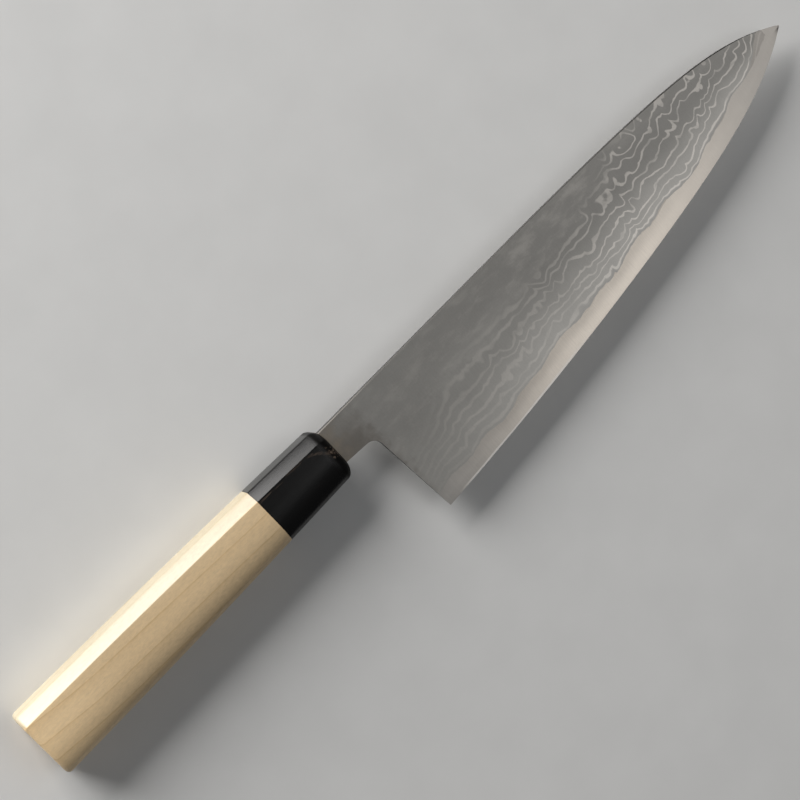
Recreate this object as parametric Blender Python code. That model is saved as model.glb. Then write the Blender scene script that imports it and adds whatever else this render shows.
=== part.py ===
"""A wa-handled gyuto: a three-layer blade whose hidden tang is bedded in a wooden handle with a horn ferrule.

The knife lies on its left side, as it would on a table. X runs from the butt to the tip, Y from the edge to
the spine and Z out of the right face. The origin is on the surface, below the middle of the knife's outline.
Inside this file, x, y and z are measured from the point where the handle's axis leaves the ferrule's front.
"""

import math

import bmesh
import bpy
from mathutils import Vector

MM = 0.001

# Handle: an octagon, taller than it is thick, that swells towards the butt
HANDLE_LENGTH = 126.4 * MM
FERRULE_LENGTH = 28.8 * MM
BUTT_HEIGHT = 23.5 * MM
BUTT_THICKNESS = 17.6 * MM
BUTT_FACET = 3.6 * MM
FRONT_HEIGHT = 18.5 * MM
FRONT_THICKNESS = 16.2 * MM
FRONT_FACET = 3.6 * MM
HANDLE_SWELL = 0.8 * MM
RIDGE_REACH = 0.2 * MM
SIDE_REACH = 0.9 * MM
PALM_REACH_FLAT = 0.3 * MM
PALM_REACH_FACET = 2.3 * MM
BUTT_ROUND = 1.6 * MM
DOME_LENGTH = 3.5 * MM
DOME_INSET = 4.8 * MM

# Ferrule and tenon: the horn is a cap on the end of the wood
FERRULE_FRONT_WALL = 9.0 * MM
FERRULE_SIDE_WALL = 2.3 * MM
TENON_CORNER = 4.5 * MM

# Blade outline, seen from the right face
BLADE_LENGTH = 182.2 * MM
NECK_LENGTH = 14.4 * MM
SPINE_ABOVE_AXIS = 7.0 * MM
HEEL_DEPTH = 46.0 * MM
TIP_BELOW_SPINE = 13.25 * MM
SPINE_SWEEP = 4.2 * MM
SPINE_STRAIGHT = 64.5 * MM
EDGE_BELLY = 12.8 * MM
EDGE_TIP_CURL = 8.8 * MM
TIP_BLUNTNESS = 0.4 * MM
NECK_HEIGHT = 12.8 * MM
NECK_FLARE_ANGLE = math.radians(3.6)
HEEL_LEAN_ANGLE = math.radians(4.4)
CHOIL_RADIUS = 3.8 * MM

# Blade thickness, spine to edge and heel to tip
NECK_THICKNESS = 3.0 * MM
HEEL_THICKNESS = 2.8 * MM
MIDDLE_THICKNESS = 1.75 * MM
TIP_THICKNESS = 0.5 * MM
BEHIND_EDGE_THICKNESS = 0.25 * MM
EDGE_LAND = 0.04 * MM
BEVEL_HEIGHT = 0.8 * MM
SPINE_EASE = 0.3 * MM

# How hard the blade's curves bend: the higher the power, the later the curve sets in
SPINE_SWEEP_POWER = 2.3
SPINE_TIP_POWER = 7.15
EDGE_BELLY_POWER = 2
EDGE_CURL_POWER = 9.65
HEEL_TAPER_POWER = 3
TIP_TAPER_POWER = 7
GRIND_POWER = 1.55

# Layers: a hard core between two softer claddings
CORE_THICKNESS = 0.57 * MM
LONG_RIPPLE = 0.048 * MM
LONG_RIPPLE_LENGTH = 47.0 * MM
SHORT_RIPPLE = 0.032 * MM
SHORT_RIPPLE_LENGTH = 19.0 * MM
CLADDING_FEATHER = 0.04 * MM
CLADDING_TIP_FEATHER = 0.1 * MM
WELD_LINE = 0.02 * MM
SEAT_STEP = 0.03 * MM

# Tang: what the handle hides
TANG_LENGTH = 92.0 * MM
TANG_ROOT_HEIGHT = 9.5 * MM
TANG_END_HEIGHT = 5.0 * MM
TANG_END_THICKNESS = 2.2 * MM
SHOULDER_START = 2.0 * MM
BEDDING_MARGIN_Y = 0.9 * MM
BEDDING_MARGIN_Z = 0.7 * MM
BEDDING_END = 2.0 * MM
SEAL_DEPTH = 1.6 * MM
SEAL_PROUD = 0.15 * MM
BOND_LINE = 0.1 * MM

# How finely the curves are divided
ARRIS_SEGMENTS = 2
PALM_SEGMENTS = 3
ROUND_SEGMENTS = 3
DOME_SEGMENTS = 6
BARREL_RINGS = 5
NECK_COLUMNS = 2
CHOIL_COLUMNS = 5
TANG_COLUMNS = 6
BLADE_COLUMNS = 64
TIP_COLUMNS = 5
NECK_ROWS = 3
FLANK_ROWS = 4
SEAL_COLUMNS = 6
SHARP_ANGLE = math.radians(25)
BISECTIONS = 40
CUTTER_REACH = 5.0 * MM

# The most that a small feature may take of the wall or the side that it is cut from
ARRIS_SHARE = 0.45
CORNER_SHARE = 0.98
EASE_SHARE = 0.5
BEVEL_SHARE = 0.5
LAYER_SHARE = 0.95

TIP_X = NECK_LENGTH + BLADE_LENGTH
EDGE_AT_HEEL = SPINE_ABOVE_AXIS - HEEL_DEPTH
TIP_Y = SPINE_ABOVE_AXIS - TIP_BELOW_SPINE
NECK_UNDERSIDE = SPINE_ABOVE_AXIS - NECK_HEIGHT

STEEL_CORE = ("core steel", (0.62, 0.59, 0.55, 1.0), 0.3, 1.0)
STEEL_CLADDING = ("layered cladding", (0.36, 0.35, 0.33, 1.0), 0.45, 1.0)
HORN = ("buffalo horn", (0.012, 0.011, 0.010, 1.0), 0.25, 0.0)
WOOD = ("magnolia wood", (0.66, 0.48, 0.28, 1.0), 0.6, 0.0)
RESIN = ("clear resin", (0.45, 0.36, 0.22, 1.0), 0.35, 0.0)


def clear_scene():
    for thing in list(bpy.data.objects):
        bpy.data.objects.remove(thing, do_unlink=True)


def principled(name, color, roughness, metallic):
    material = bpy.data.materials.new(name)
    material.use_nodes = True
    shader = material.node_tree.nodes["Principled BSDF"]
    shader.inputs["Base Color"].default_value = color
    shader.inputs["Roughness"].default_value = roughness
    shader.inputs["Metallic"].default_value = metallic
    material.diffuse_color = color
    return material


def mix(a, b, share):
    return a + (b - a) * share


def new_piece(name, vertices, faces, finish, frame):
    """A mesh object with smooth curved faces and its own material, carried by the knife's frame."""
    mesh = bpy.data.meshes.new(name)
    mesh.from_pydata(vertices, [], faces)
    shape = bmesh.new()
    shape.from_mesh(mesh)
    bmesh.ops.recalc_face_normals(shape, faces=shape.faces)
    shape.to_mesh(mesh)
    shape.free()
    mesh.shade_smooth()
    mesh.set_sharp_from_angle(angle=SHARP_ANGLE)
    piece = bpy.data.objects.new(name, mesh)
    bpy.context.collection.objects.link(piece)
    piece.parent = frame
    if finish:
        mesh.materials.append(principled(*finish))
    return piece


def new_cutter(name, vertices, faces, frame):
    cutter = new_piece(name, vertices, faces, None, frame)
    cutter.hide_render = True
    cutter.display_type = "WIRE"
    return cutter


def add_boolean(piece, other, operation):
    modifier = piece.modifiers.new(other.name, "BOOLEAN")
    modifier.operation = operation
    modifier.object = other
    modifier.solver = "EXACT"


def loft(rings):
    """Vertices and faces of a closed body through rings that hold the same number of points."""
    count = len(rings[0])
    vertices = [point for ring in rings for point in ring]
    faces = [tuple(range(count)), tuple(range(len(vertices) - count, len(vertices)))]
    for start in range(0, len(vertices) - count, count):
        for i in range(count):
            after = (i + 1) % count
            faces.append((start + i, start + after, start + count + after, start + count + i))
    return vertices, faces


def handle_share(x):
    """0 at the ferrule's front and 1 at the butt."""
    return -x / HANDLE_LENGTH


def handle_height(x):
    share = handle_share(x)
    return mix(FRONT_HEIGHT, BUTT_HEIGHT, share) + 4 * HANDLE_SWELL * share * (1 - share)


def handle_thickness(x):
    return mix(FRONT_THICKNESS, BUTT_THICKNESS, handle_share(x))


def handle_facet(x):
    return mix(FRONT_FACET, BUTT_FACET, handle_share(x))


def octagon_corners(half_y, half_z, facet):
    """Corners with how far their rounding reaches back and ahead, and how finely it is divided.

    The ridges towards the spine are crisp. Those under the fingers, towards the edge, blend into the slope, but
    hardly into the flat that the knife lies on, which has to reach past its centre of mass.
    """
    ridge = (RIDGE_REACH, RIDGE_REACH, ARRIS_SEGMENTS)
    side = (SIDE_REACH, SIDE_REACH, ARRIS_SEGMENTS)
    return [
        ((half_y, half_z - facet), side),
        ((half_y - facet, half_z), ridge),
        ((facet - half_y, half_z), (PALM_REACH_FLAT, PALM_REACH_FACET, PALM_SEGMENTS)),
        ((-half_y, half_z - facet), side),
        ((-half_y, facet - half_z), side),
        ((facet - half_y, -half_z), (PALM_REACH_FACET, PALM_REACH_FLAT, PALM_SEGMENTS)),
        ((half_y - facet, -half_z), ridge),
        ((half_y, facet - half_z), side),
    ]


def arris_reach(reach, length):
    """A rounding may take only its share of the side that it runs into."""
    return min(reach, ARRIS_SHARE * length)


def octagon_ring(x, section_x, inset):
    """The handle's outline at section_x, drawn in by inset, with softened corners, standing at x."""
    half_y = handle_height(section_x) / 2 - inset
    half_z = handle_thickness(section_x) / 2 - inset
    facet = max(SIDE_REACH, handle_facet(section_x) - (2 - math.sqrt(2)) * inset)
    corners = octagon_corners(half_y, half_z, facet)
    ring = []
    for i, (place, (back_reach, ahead_reach, segments)) in enumerate(corners):
        corner = Vector(place)
        back = Vector(corners[i - 1][0]) - corner
        ahead = Vector(corners[(i + 1) % 8][0]) - corner
        back *= arris_reach(back_reach, back.length) / back.length
        ahead *= arris_reach(ahead_reach, ahead.length) / ahead.length
        for step in range(segments + 1):
            share = step / segments
            bend = corner + back * (1 - share) ** 2 + ahead * share**2
            ring.append((x, bend.x, bend.y))
    return ring


def stations(start, end, count):
    return [mix(start, end, i / count) for i in range(count + 1)]


def wood_rings():
    """From the butt's rounded end to the joint with the horn."""
    rings = []
    shoulder = -HANDLE_LENGTH + BUTT_ROUND
    for step in range(ROUND_SEGMENTS):
        angle = step / ROUND_SEGMENTS * math.pi / 2
        x = shoulder - BUTT_ROUND * math.cos(angle)
        rings.append(octagon_ring(x, shoulder, BUTT_ROUND * (1 - math.sin(angle))))
    joint = -FERRULE_LENGTH - BOND_LINE
    rings += [octagon_ring(x, x, 0) for x in stations(shoulder, joint, BARREL_RINGS)]
    return rings


def horn_rings():
    """From the joint to the domed front, which turns in like a quarter of an ellipse."""
    rings = [octagon_ring(x, x, 0) for x in stations(-FERRULE_LENGTH, -DOME_LENGTH, BARREL_RINGS)]
    for step in range(1, DOME_SEGMENTS + 1):
        angle = step / DOME_SEGMENTS * math.pi / 2
        x = -DOME_LENGTH * (1 - math.sin(angle))
        rings.append(octagon_ring(x, -DOME_LENGTH, DOME_INSET * (1 - math.cos(angle))))
    return rings


def dome_x(y):
    """Where the ferrule's domed front lies at a height above or below the handle's axis."""
    flat = handle_height(-DOME_LENGTH) / 2 - DOME_INSET
    turned = min(1.0, max(0.0, (abs(y) - flat) / DOME_INSET))
    return -DOME_LENGTH * (1 - math.sqrt(1 - turned**2))


def rounded_ring(x, half_y, half_z, radius):
    """A rectangle with round corners across the handle's axis."""
    radius = min(radius, CORNER_SHARE * half_y, CORNER_SHARE * half_z)
    ring = []
    for quarter, (side_y, side_z) in enumerate([(1, 1), (-1, 1), (-1, -1), (1, -1)]):
        for step in range(ROUND_SEGMENTS + 1):
            angle = (quarter + step / ROUND_SEGMENTS) * math.pi / 2
            y = side_y * (half_y - radius) + radius * math.cos(angle)
            z = side_z * (half_z - radius) + radius * math.sin(angle)
            ring.append((x, y, z))
    return ring


def tenon_rings(front, back, growth):
    """The round-cornered tongue of wood that the horn fits over, grown all round by a clearance."""
    half_y = handle_height(-FERRULE_FRONT_WALL) / 2 - FERRULE_SIDE_WALL + growth
    half_z = handle_thickness(-FERRULE_FRONT_WALL) / 2 - FERRULE_SIDE_WALL + growth
    return [rounded_ring(x, half_y, half_z, TENON_CORNER) for x in (back, front)]


def spine_y(x):
    """Straight from the tang to the sweep, then falling faster and faster to the tip."""
    sweep_start = NECK_LENGTH + SPINE_STRAIGHT
    share = max(0.0, (x - sweep_start) / (TIP_X - sweep_start))
    tip_fall = TIP_BELOW_SPINE - TIP_BLUNTNESS / 2 - SPINE_SWEEP
    return SPINE_ABOVE_AXIS - SPINE_SWEEP * share**SPINE_SWEEP_POWER - tip_fall * share**SPINE_TIP_POWER


def blade_share(x):
    """0 at the heel and 1 at the tip."""
    return min(1.0, max(0.0, (x - NECK_LENGTH) / BLADE_LENGTH))


def edge_y(x):
    """Nearly flat at the heel, with a belly that curls up into the tip."""
    share = blade_share(x)
    rise = TIP_Y - TIP_BLUNTNESS / 2 - EDGE_AT_HEEL
    flat_rise = (rise - EDGE_BELLY - EDGE_TIP_CURL) * share
    belly = EDGE_BELLY * share**EDGE_BELLY_POWER
    return EDGE_AT_HEEL + flat_rise + belly + EDGE_TIP_CURL * share**EDGE_CURL_POWER


def spine_thickness(x):
    """Thick at the neck, quickly thinner over the heel, then even until the last stretch before the tip."""
    if x < 0:
        return mix(NECK_THICKNESS, TANG_END_THICKNESS, -x / TANG_LENGTH)
    if x < NECK_LENGTH:
        return mix(NECK_THICKNESS, HEEL_THICKNESS, x / NECK_LENGTH)
    share = blade_share(x)
    from_heel = (HEEL_THICKNESS - MIDDLE_THICKNESS) * (1 - share) ** HEEL_TAPER_POWER
    to_tip = (MIDDLE_THICKNESS - TIP_THICKNESS) * share**TIP_TAPER_POWER
    return MIDDLE_THICKNESS + from_heel - to_tip


def core_thickness(x):
    """The forged core is not quite even, which makes the line where it meets the cladding wander."""
    along = max(0.0, x - NECK_LENGTH)
    long_wave = LONG_RIPPLE * math.sin(2 * math.pi * along / LONG_RIPPLE_LENGTH)
    short_wave = SHORT_RIPPLE * math.sin(2 * math.pi * along / SHORT_RIPPLE_LENGTH)
    return CORE_THICKNESS + long_wave + short_wave


def grind_thickness(x, height_share):
    """The blade's thickness at a share of the way up from the edge to the spine: a convex flank."""
    convex = 1 - (1 - height_share) ** GRIND_POWER
    return mix(BEHIND_EDGE_THICKNESS, spine_thickness(x), convex)


def lamination_share(x):
    """How far up from the edge the core shows: where the ground flank cuts through the cladding."""
    core = core_thickness(x) + 2 * CLADDING_FEATHER - BEHIND_EDGE_THICKNESS
    spine = spine_thickness(x) - BEHIND_EDGE_THICKNESS
    return 1 - (1 - min(LAYER_SHARE, core / spine)) ** (1 / GRIND_POWER)


def cladding_end():
    """Where the blade has become so thin towards the tip that the claddings run out."""
    low, high = (NECK_LENGTH + TIP_X) / 2, TIP_X
    for _ in range(BISECTIONS):
        middle = (low + high) / 2
        left = spine_thickness(middle) - core_thickness(middle) - 2 * CLADDING_FEATHER
        low, high = (middle, high) if left > CLADDING_TIP_FEATHER else (low, middle)
    return low


def shoulder_share(x):
    """0 at the ferrule's front and 1 where the tang has narrowed to its root."""
    return min(1.0, max(0.0, (-x - SHOULDER_START) / (FERRULE_FRONT_WALL - SHOULDER_START)))


def tang_top(x):
    along = max(0.0, -x - FERRULE_FRONT_WALL) / (TANG_LENGTH - FERRULE_FRONT_WALL)
    half_height = mix(TANG_ROOT_HEIGHT, TANG_END_HEIGHT, along) / 2
    return mix(SPINE_ABOVE_AXIS, half_height, shoulder_share(x))


def tang_bottom(x):
    along = max(0.0, -x - FERRULE_FRONT_WALL) / (TANG_LENGTH - FERRULE_FRONT_WALL)
    half_height = mix(TANG_ROOT_HEIGHT, TANG_END_HEIGHT, along) / 2
    return mix(NECK_UNDERSIDE, -half_height, shoulder_share(x))


def neck_thickness(x, y):
    """The flank's thickness in the neck and the tang, which carry on the grind above the heel."""
    depth = min(1.0, max(0.0, (SPINE_ABOVE_AXIS - y) / HEEL_DEPTH))
    return grind_thickness(x, 1 - depth)


def heel_line_x(y):
    return NECK_LENGTH - math.tan(HEEL_LEAN_ANGLE) * (y - EDGE_AT_HEEL)


def choil_arc():
    """The centre of the rounded corner below the neck, touching the neck's underside and the heel."""
    flare, lean = NECK_FLARE_ANGLE, HEEL_LEAN_ANGLE
    centre_line = NECK_UNDERSIDE - CHOIL_RADIUS / math.cos(flare)
    heel_line = heel_line_x(0) - CHOIL_RADIUS / math.cos(lean)
    across = heel_line - math.tan(lean) * centre_line
    x = across / (1 - math.tan(lean) * math.tan(flare))
    return x, centre_line - math.tan(flare) * x


def column(top, bottom, rows):
    """Points down from the spine: the first two are close together, for the eased corner of the spine."""
    ease = min(SPINE_EASE / (top[1] - bottom[1]), EASE_SHARE / rows)
    shares = [0.0, ease] + [i / rows for i in range(1, rows + 1)]
    return [(mix(top[0], bottom[0], s), mix(top[1], bottom[1], s)) for s in shares]


def neck_columns():
    """Columns of the tang and the neck, from the tang's end to just before the heel."""
    places = stations(-TANG_LENGTH, -FERRULE_FRONT_WALL, TANG_COLUMNS)
    places += [-SHOULDER_START, 0.0]
    columns = [column((x, tang_top(x)), (x, tang_bottom(x)), NECK_ROWS) for x in places]
    centre_x, centre_y = choil_arc()
    first_angle = math.pi / 2 - NECK_FLARE_ANGLE
    arc_start = centre_x + CHOIL_RADIUS * math.cos(first_angle)
    slope = math.tan(NECK_FLARE_ANGLE)
    for x in stations(0.0, arc_start, NECK_COLUMNS)[1:-1]:
        columns.append(column((x, SPINE_ABOVE_AXIS), (x, NECK_UNDERSIDE - slope * x), NECK_ROWS))
    for step in range(CHOIL_COLUMNS):
        share = step / CHOIL_COLUMNS
        angle = mix(first_angle, HEEL_LEAN_ANGLE, share)
        x = centre_x + CHOIL_RADIUS * math.cos(angle)
        y = centre_y + CHOIL_RADIUS * math.sin(angle)
        top_x = mix(arc_start, heel_line_x(SPINE_ABOVE_AXIS), share)
        columns.append(column((top_x, SPINE_ABOVE_AXIS), (x, y), NECK_ROWS))
    return columns


def blade_frame(x):
    """The top and bottom of a blade column that leans like the heel and meets the edge at x."""
    bottom = Vector((x, edge_y(x)))
    top_x = x - math.tan(HEEL_LEAN_ANGLE) * (spine_y(x) - bottom.y)
    return Vector((top_x, spine_y(top_x))), bottom


def choil_share():
    """How far down the cladding the choil's corner lies, on the column at the heel."""
    top, bottom = blade_frame(NECK_LENGTH)
    centre_y = choil_arc()[1]
    corner_depth = top.y - centre_y - CHOIL_RADIUS * math.sin(HEEL_LEAN_ANGLE)
    return corner_depth / ((top.y - bottom.y) * (1 - lamination_share(NECK_LENGTH)))


def covered_column(x, lamination, seat):
    """Points from the spine to the lamination line, or past it by the seat, on the blade column at x."""
    top, bottom = blade_frame(x)
    height = (top - bottom).length
    line = top.lerp(bottom, 1 - lamination + seat / height)
    choil = top.lerp(line, choil_share())
    points = column(top, choil, NECK_ROWS)
    points += [tuple(choil.lerp(line, i / FLANK_ROWS)) for i in range(1, FLANK_ROWS + 1)]
    return points


def exposed_column(x, lamination):
    """Points of the bare core, from just below the lamination line to the edge."""
    top, bottom = blade_frame(x)
    height = (top - bottom).length
    start = lamination - 2 * SEAT_STEP / height
    bevel = min(BEVEL_HEIGHT / height, BEVEL_SHARE * start)
    shares = [start, (start + bevel) / 2, bevel, 0.0]
    return [tuple(bottom.lerp(top, share)) for share in shares], shares


def eased(outer, inner, row):
    """The spine's corner is broken, but never through the layer."""
    return outer - min(SPINE_EASE, EASE_SHARE * (outer - inner)) if row == 0 else outer


def blade_places():
    """Where blade columns meet the edge, as far as the claddings reach."""
    return stations(NECK_LENGTH, cladding_end(), BLADE_COLUMNS)


def layer_cells(points, outers, inner, side):
    """One column of a cladding: the points with their outer and inner heights."""
    return [
        (x, y, side * eased(outer, inner, row), side * inner)
        for row, ((x, y), outer) in enumerate(zip(points, outers))
    ]


def cladding_columns(side):
    """A cladding, column by column, from the tang's end to where it runs out near the tip."""
    grid = []
    for points in neck_columns():
        outers = [neck_thickness(x, y) / 2 for x, y in points]
        grid.append(layer_cells(points, outers, core_thickness(0) / 2 + WELD_LINE, side))
    for place in blade_places():
        points = covered_column(place, lamination_share(place), 0)
        top, bottom = blade_frame(place)
        shares = [(y - bottom.y) / (top.y - bottom.y) for _, y in points]
        outers = [grind_thickness(place, share) / 2 for share in shares]
        grid.append(layer_cells(points, outers, core_thickness(place) / 2 + WELD_LINE, side))
    return grid


def bare_halves(place, shares):
    """Half thicknesses of the bare core, the last one at the cutting edge itself."""
    return [grind_thickness(place, share) / 2 for share in shares[:-1]] + [EDGE_LAND / 2]


def core_cells(place, lamination, covered_halves):
    """One column of the core: its covered points, then the bare band down to the cutting edge."""
    points = covered_column(place, lamination, SEAT_STEP)
    bare_points, shares = exposed_column(place, lamination)
    halves = covered_halves + bare_halves(place, shares)
    return [(x, y, half, -half) for (x, y), half in zip(points + bare_points, halves)]


def core_columns():
    """The core, column by column, with the steps that the claddings' edges sit against."""
    neck_half = core_thickness(0) / 2
    grid = [[(x, y, neck_half, -neck_half) for x, y in points] for points in neck_columns()]
    places = blade_places()
    places[-1] += SEAT_STEP
    rows = len(covered_column(NECK_LENGTH, lamination_share(NECK_LENGTH), 0))
    for place in places:
        covered = [core_thickness(place) / 2] * rows
        grid.append(core_cells(place, lamination_share(place), covered))
    return grid + bare_tip_columns(places[-1])


def bare_tip_columns(start):
    """The last stretch before the tip, where the core shows from spine to edge."""
    lamination = lamination_share(start)
    grid = []
    for place in stations(start + SEAT_STEP, TIP_X, TIP_COLUMNS):
        top, bottom = blade_frame(place)
        heights = [y for _, y in covered_column(place, lamination, SEAT_STEP)]
        shares = [(y - bottom.y) / (top.y - bottom.y) for y in heights]
        halves = [grind_thickness(place, share) / 2 for share in shares]
        halves[0] = eased(halves[0], 0, 0)
        grid.append(core_cells(place, lamination, halves))
    return grid


def slab(grid):
    """A closed body between two height fields on columns of points, shorter columns ending higher up."""
    vertices, upper, lower = [], {}, {}
    for i, cells in enumerate(grid):
        for j, (x, y, high, low) in enumerate(cells):
            upper[i, j] = len(vertices)
            vertices.append((x, y, high))
            lower[i, j] = len(vertices)
            vertices.append((x, y, low))
    faces, rim = [], {}
    for i in range(len(grid) - 1):
        for j in range(min(len(grid[i]), len(grid[i + 1])) - 1):
            loop = [(i, j), (i + 1, j), (i + 1, j + 1), (i, j + 1)]
            faces.append([upper[key] for key in loop])
            faces.append([lower[key] for key in reversed(loop)])
            for a, b in zip(loop, loop[1:] + loop[:1]):
                if rim.pop((b, a), None) is None:
                    rim[a, b] = True
    faces += [[upper[b], upper[a], lower[a], lower[b]] for a, b in rim]
    return vertices, faces


def tang_rings(places, margin_y, margin_z):
    """Sections round the tang, wider than it by a margin on every side."""
    rings = []
    for x in places:
        inside = max(x, -TANG_LENGTH)
        top, bottom = tang_top(inside), tang_bottom(inside)
        high = neck_thickness(inside, top) / 2 + margin_z
        low = neck_thickness(inside, bottom) / 2 + margin_z
        top += margin_y
        bottom -= margin_y
        rings.append([(x, top, high), (x, top, -high), (x, bottom, -low), (x, bottom, low)])
    return rings


def slot_places(front, back):
    """Where a loft round the tang needs a section: at its ends and where the tang bends."""
    bends = [-SHOULDER_START, -FERRULE_FRONT_WALL, -TANG_LENGTH]
    return [front] + [x for x in bends if back < x < front] + [back]


def seal_columns(margin_y, margin_z):
    """The bead in the slot's mouth, whose front follows the ferrule's dome."""
    grid = []
    for y in stations(NECK_UNDERSIDE - margin_y, SPINE_ABOVE_AXIS + margin_y, SEAL_COLUMNS):
        half = neck_thickness(-SEAL_DEPTH, y) / 2 + margin_z
        grid.append([(x, y, half, -half) for x in (dome_x(y) + SEAL_PROUD, -SEAL_DEPTH)])
    return grid


def make_blade(frame):
    new_piece("core_steel", *slab(core_columns()), STEEL_CORE, frame)
    new_piece("cladding_right", *slab(cladding_columns(1)), STEEL_CLADDING, frame)
    new_piece("cladding_left", *slab(cladding_columns(-1)), STEEL_CLADDING, frame)


def make_handle(frame):
    """Wood and horn, both bored for the tang, with the wood's tenon glued into the horn."""
    joint = -FERRULE_LENGTH - BOND_LINE
    tenon_front = -FERRULE_FRONT_WALL - BOND_LINE
    slot_end = -TANG_LENGTH - BEDDING_END - BOND_LINE
    slot_rings = tang_rings(slot_places(CUTTER_REACH, slot_end), BEDDING_MARGIN_Y, BEDDING_MARGIN_Z)
    slot = new_cutter("tang_slot_cutter", *loft(slot_rings), frame)
    tongue_rings = tenon_rings(tenon_front, joint - CUTTER_REACH, 0)
    tongue = new_cutter("tenon_shape", *loft(tongue_rings), frame)
    socket_rings = tenon_rings(-FERRULE_FRONT_WALL, joint - CUTTER_REACH, BOND_LINE)
    socket = new_cutter("socket_cutter", *loft(socket_rings), frame)
    wood = new_piece("handle_body", *loft(wood_rings()), WOOD, frame)
    add_boolean(wood, tongue, "UNION")
    add_boolean(wood, slot, "DIFFERENCE")
    horn = new_piece("horn_ferrule", *loft(horn_rings()), HORN, frame)
    add_boolean(horn, socket, "DIFFERENCE")
    add_boolean(horn, slot, "DIFFERENCE")


def make_resin(frame):
    """The bedding that fills the slot round the tang, and the bead that closes the slot's mouth."""
    tang_places = slot_places(CUTTER_REACH, -TANG_LENGTH - BOND_LINE)
    tang = new_cutter("tang_cutter", *loft(tang_rings(tang_places, BOND_LINE, BOND_LINE)), frame)
    margin_y, margin_z = BEDDING_MARGIN_Y - BOND_LINE, BEDDING_MARGIN_Z - BOND_LINE
    back = -TANG_LENGTH - BEDDING_END
    bedding_places = slot_places(-SEAL_DEPTH - BOND_LINE, back)
    bedding_rings = tang_rings(bedding_places, margin_y, margin_z)
    bedding = new_piece("tang_bedding", *loft(bedding_rings), RESIN, frame)
    add_boolean(bedding, tang, "DIFFERENCE")
    seal = new_piece("mouth_seal", *slab(seal_columns(margin_y, margin_z)), RESIN, frame)
    add_boolean(seal, tang, "DIFFERENCE")


def place_frame():
    """An empty that puts the knife's outline over the origin, resting on its left side."""
    shoulder = -HANDLE_LENGTH + BUTT_ROUND
    middle_x = (TIP_X - HANDLE_LENGTH) / 2
    middle_y = (handle_height(shoulder) / 2 + EDGE_AT_HEEL) / 2
    frame = bpy.data.objects.new("knife", None)
    frame.empty_display_size = HANDLE_LENGTH / 4
    frame.location = (-middle_x, -middle_y, handle_thickness(shoulder) / 2)
    bpy.context.collection.objects.link(frame)
    return frame


def main():
    clear_scene()
    frame = place_frame()
    make_blade(frame)
    make_handle(frame)
    make_resin(frame)


main()
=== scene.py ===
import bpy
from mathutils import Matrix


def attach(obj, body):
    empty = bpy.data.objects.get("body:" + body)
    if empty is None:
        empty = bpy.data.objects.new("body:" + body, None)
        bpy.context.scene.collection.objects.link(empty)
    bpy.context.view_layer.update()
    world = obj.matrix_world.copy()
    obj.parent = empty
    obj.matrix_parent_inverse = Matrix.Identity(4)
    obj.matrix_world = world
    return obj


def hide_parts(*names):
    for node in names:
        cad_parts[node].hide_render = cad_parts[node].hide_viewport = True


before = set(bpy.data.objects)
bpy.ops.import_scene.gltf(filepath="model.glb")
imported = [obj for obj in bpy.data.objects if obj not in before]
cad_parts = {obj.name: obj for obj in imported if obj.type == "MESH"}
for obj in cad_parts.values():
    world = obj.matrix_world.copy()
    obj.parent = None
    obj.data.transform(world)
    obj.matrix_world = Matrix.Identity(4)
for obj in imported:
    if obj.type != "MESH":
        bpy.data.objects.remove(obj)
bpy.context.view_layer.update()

import math

import bmesh
import bpy
from mathutils import Matrix, Vector, noise

MM = 0.001

# Handle
HANDLE_LENGTH = 126.4 * MM
FERRULE_LENGTH = 28.8 * MM
BUTT_HEIGHT = 23.5 * MM
BUTT_THICKNESS = 17.6 * MM
BUTT_FACET = 3.6 * MM
FRONT_HEIGHT = 18.5 * MM
FRONT_THICKNESS = 16.2 * MM
FRONT_FACET = 3.6 * MM
HANDLE_SWELL = 0.8 * MM
RIDGE_REACH = 0.25 * MM
SPINE_SIDE_REACH = 0.6 * MM
PALM_SIDE_REACH = 0.9 * MM
PALM_REACH_FLAT = 10.5 * MM
PALM_REACH_FACET = 3.6 * MM
ARRIS_SHARE = 0.45
PALM_SIDE_SHARE = 0.25
PALM_SHARE = 0.74
FACET_CROWN = 0.02
BUTT_ROUND = 1.6 * MM
DOME_LENGTH = 3.5 * MM
DOME_INSET = 4.8 * MM
BOND_LINE = 0.1 * MM

# Blade outline
BLADE_LENGTH = 182.2 * MM
NECK_LENGTH = 14.4 * MM
SPINE_ABOVE_AXIS = 7.0 * MM
HEEL_DEPTH = 46.0 * MM
TIP_BELOW_SPINE = 13.25 * MM
SPINE_SWEEP = 4.2 * MM
SPINE_STRAIGHT = 64.5 * MM
EDGE_BELLY = 12.8 * MM
EDGE_TIP_CURL = 8.8 * MM
TIP_BLUNTNESS = 0.4 * MM
NECK_HEIGHT = 12.8 * MM
NECK_FLARE_ANGLE = math.radians(3.6)
HEEL_LEAN_ANGLE = math.radians(4.4)
CHOIL_RADIUS = 3.8 * MM

# Blade thickness
NECK_THICKNESS = 3.0 * MM
HEEL_THICKNESS = 2.8 * MM
MIDDLE_THICKNESS = 1.75 * MM
TIP_THICKNESS = 0.5 * MM
TANG_END_THICKNESS = 2.2 * MM
TANG_LENGTH = 92.0 * MM
BEHIND_EDGE_THICKNESS = 0.25 * MM
EDGE_LAND = 0.04 * MM
BEVEL_HEIGHT = 2.2 * MM
SPINE_EASE = 0.3 * MM

# How hard the curves bend
SPINE_SWEEP_POWER = 2.3
SPINE_TIP_POWER = 7.15
EDGE_BELLY_POWER = 2
EDGE_CURL_POWER = 9.65
HEEL_TAPER_POWER = 3
TIP_TAPER_POWER = 7
GRIND_POWER = 1.55

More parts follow.
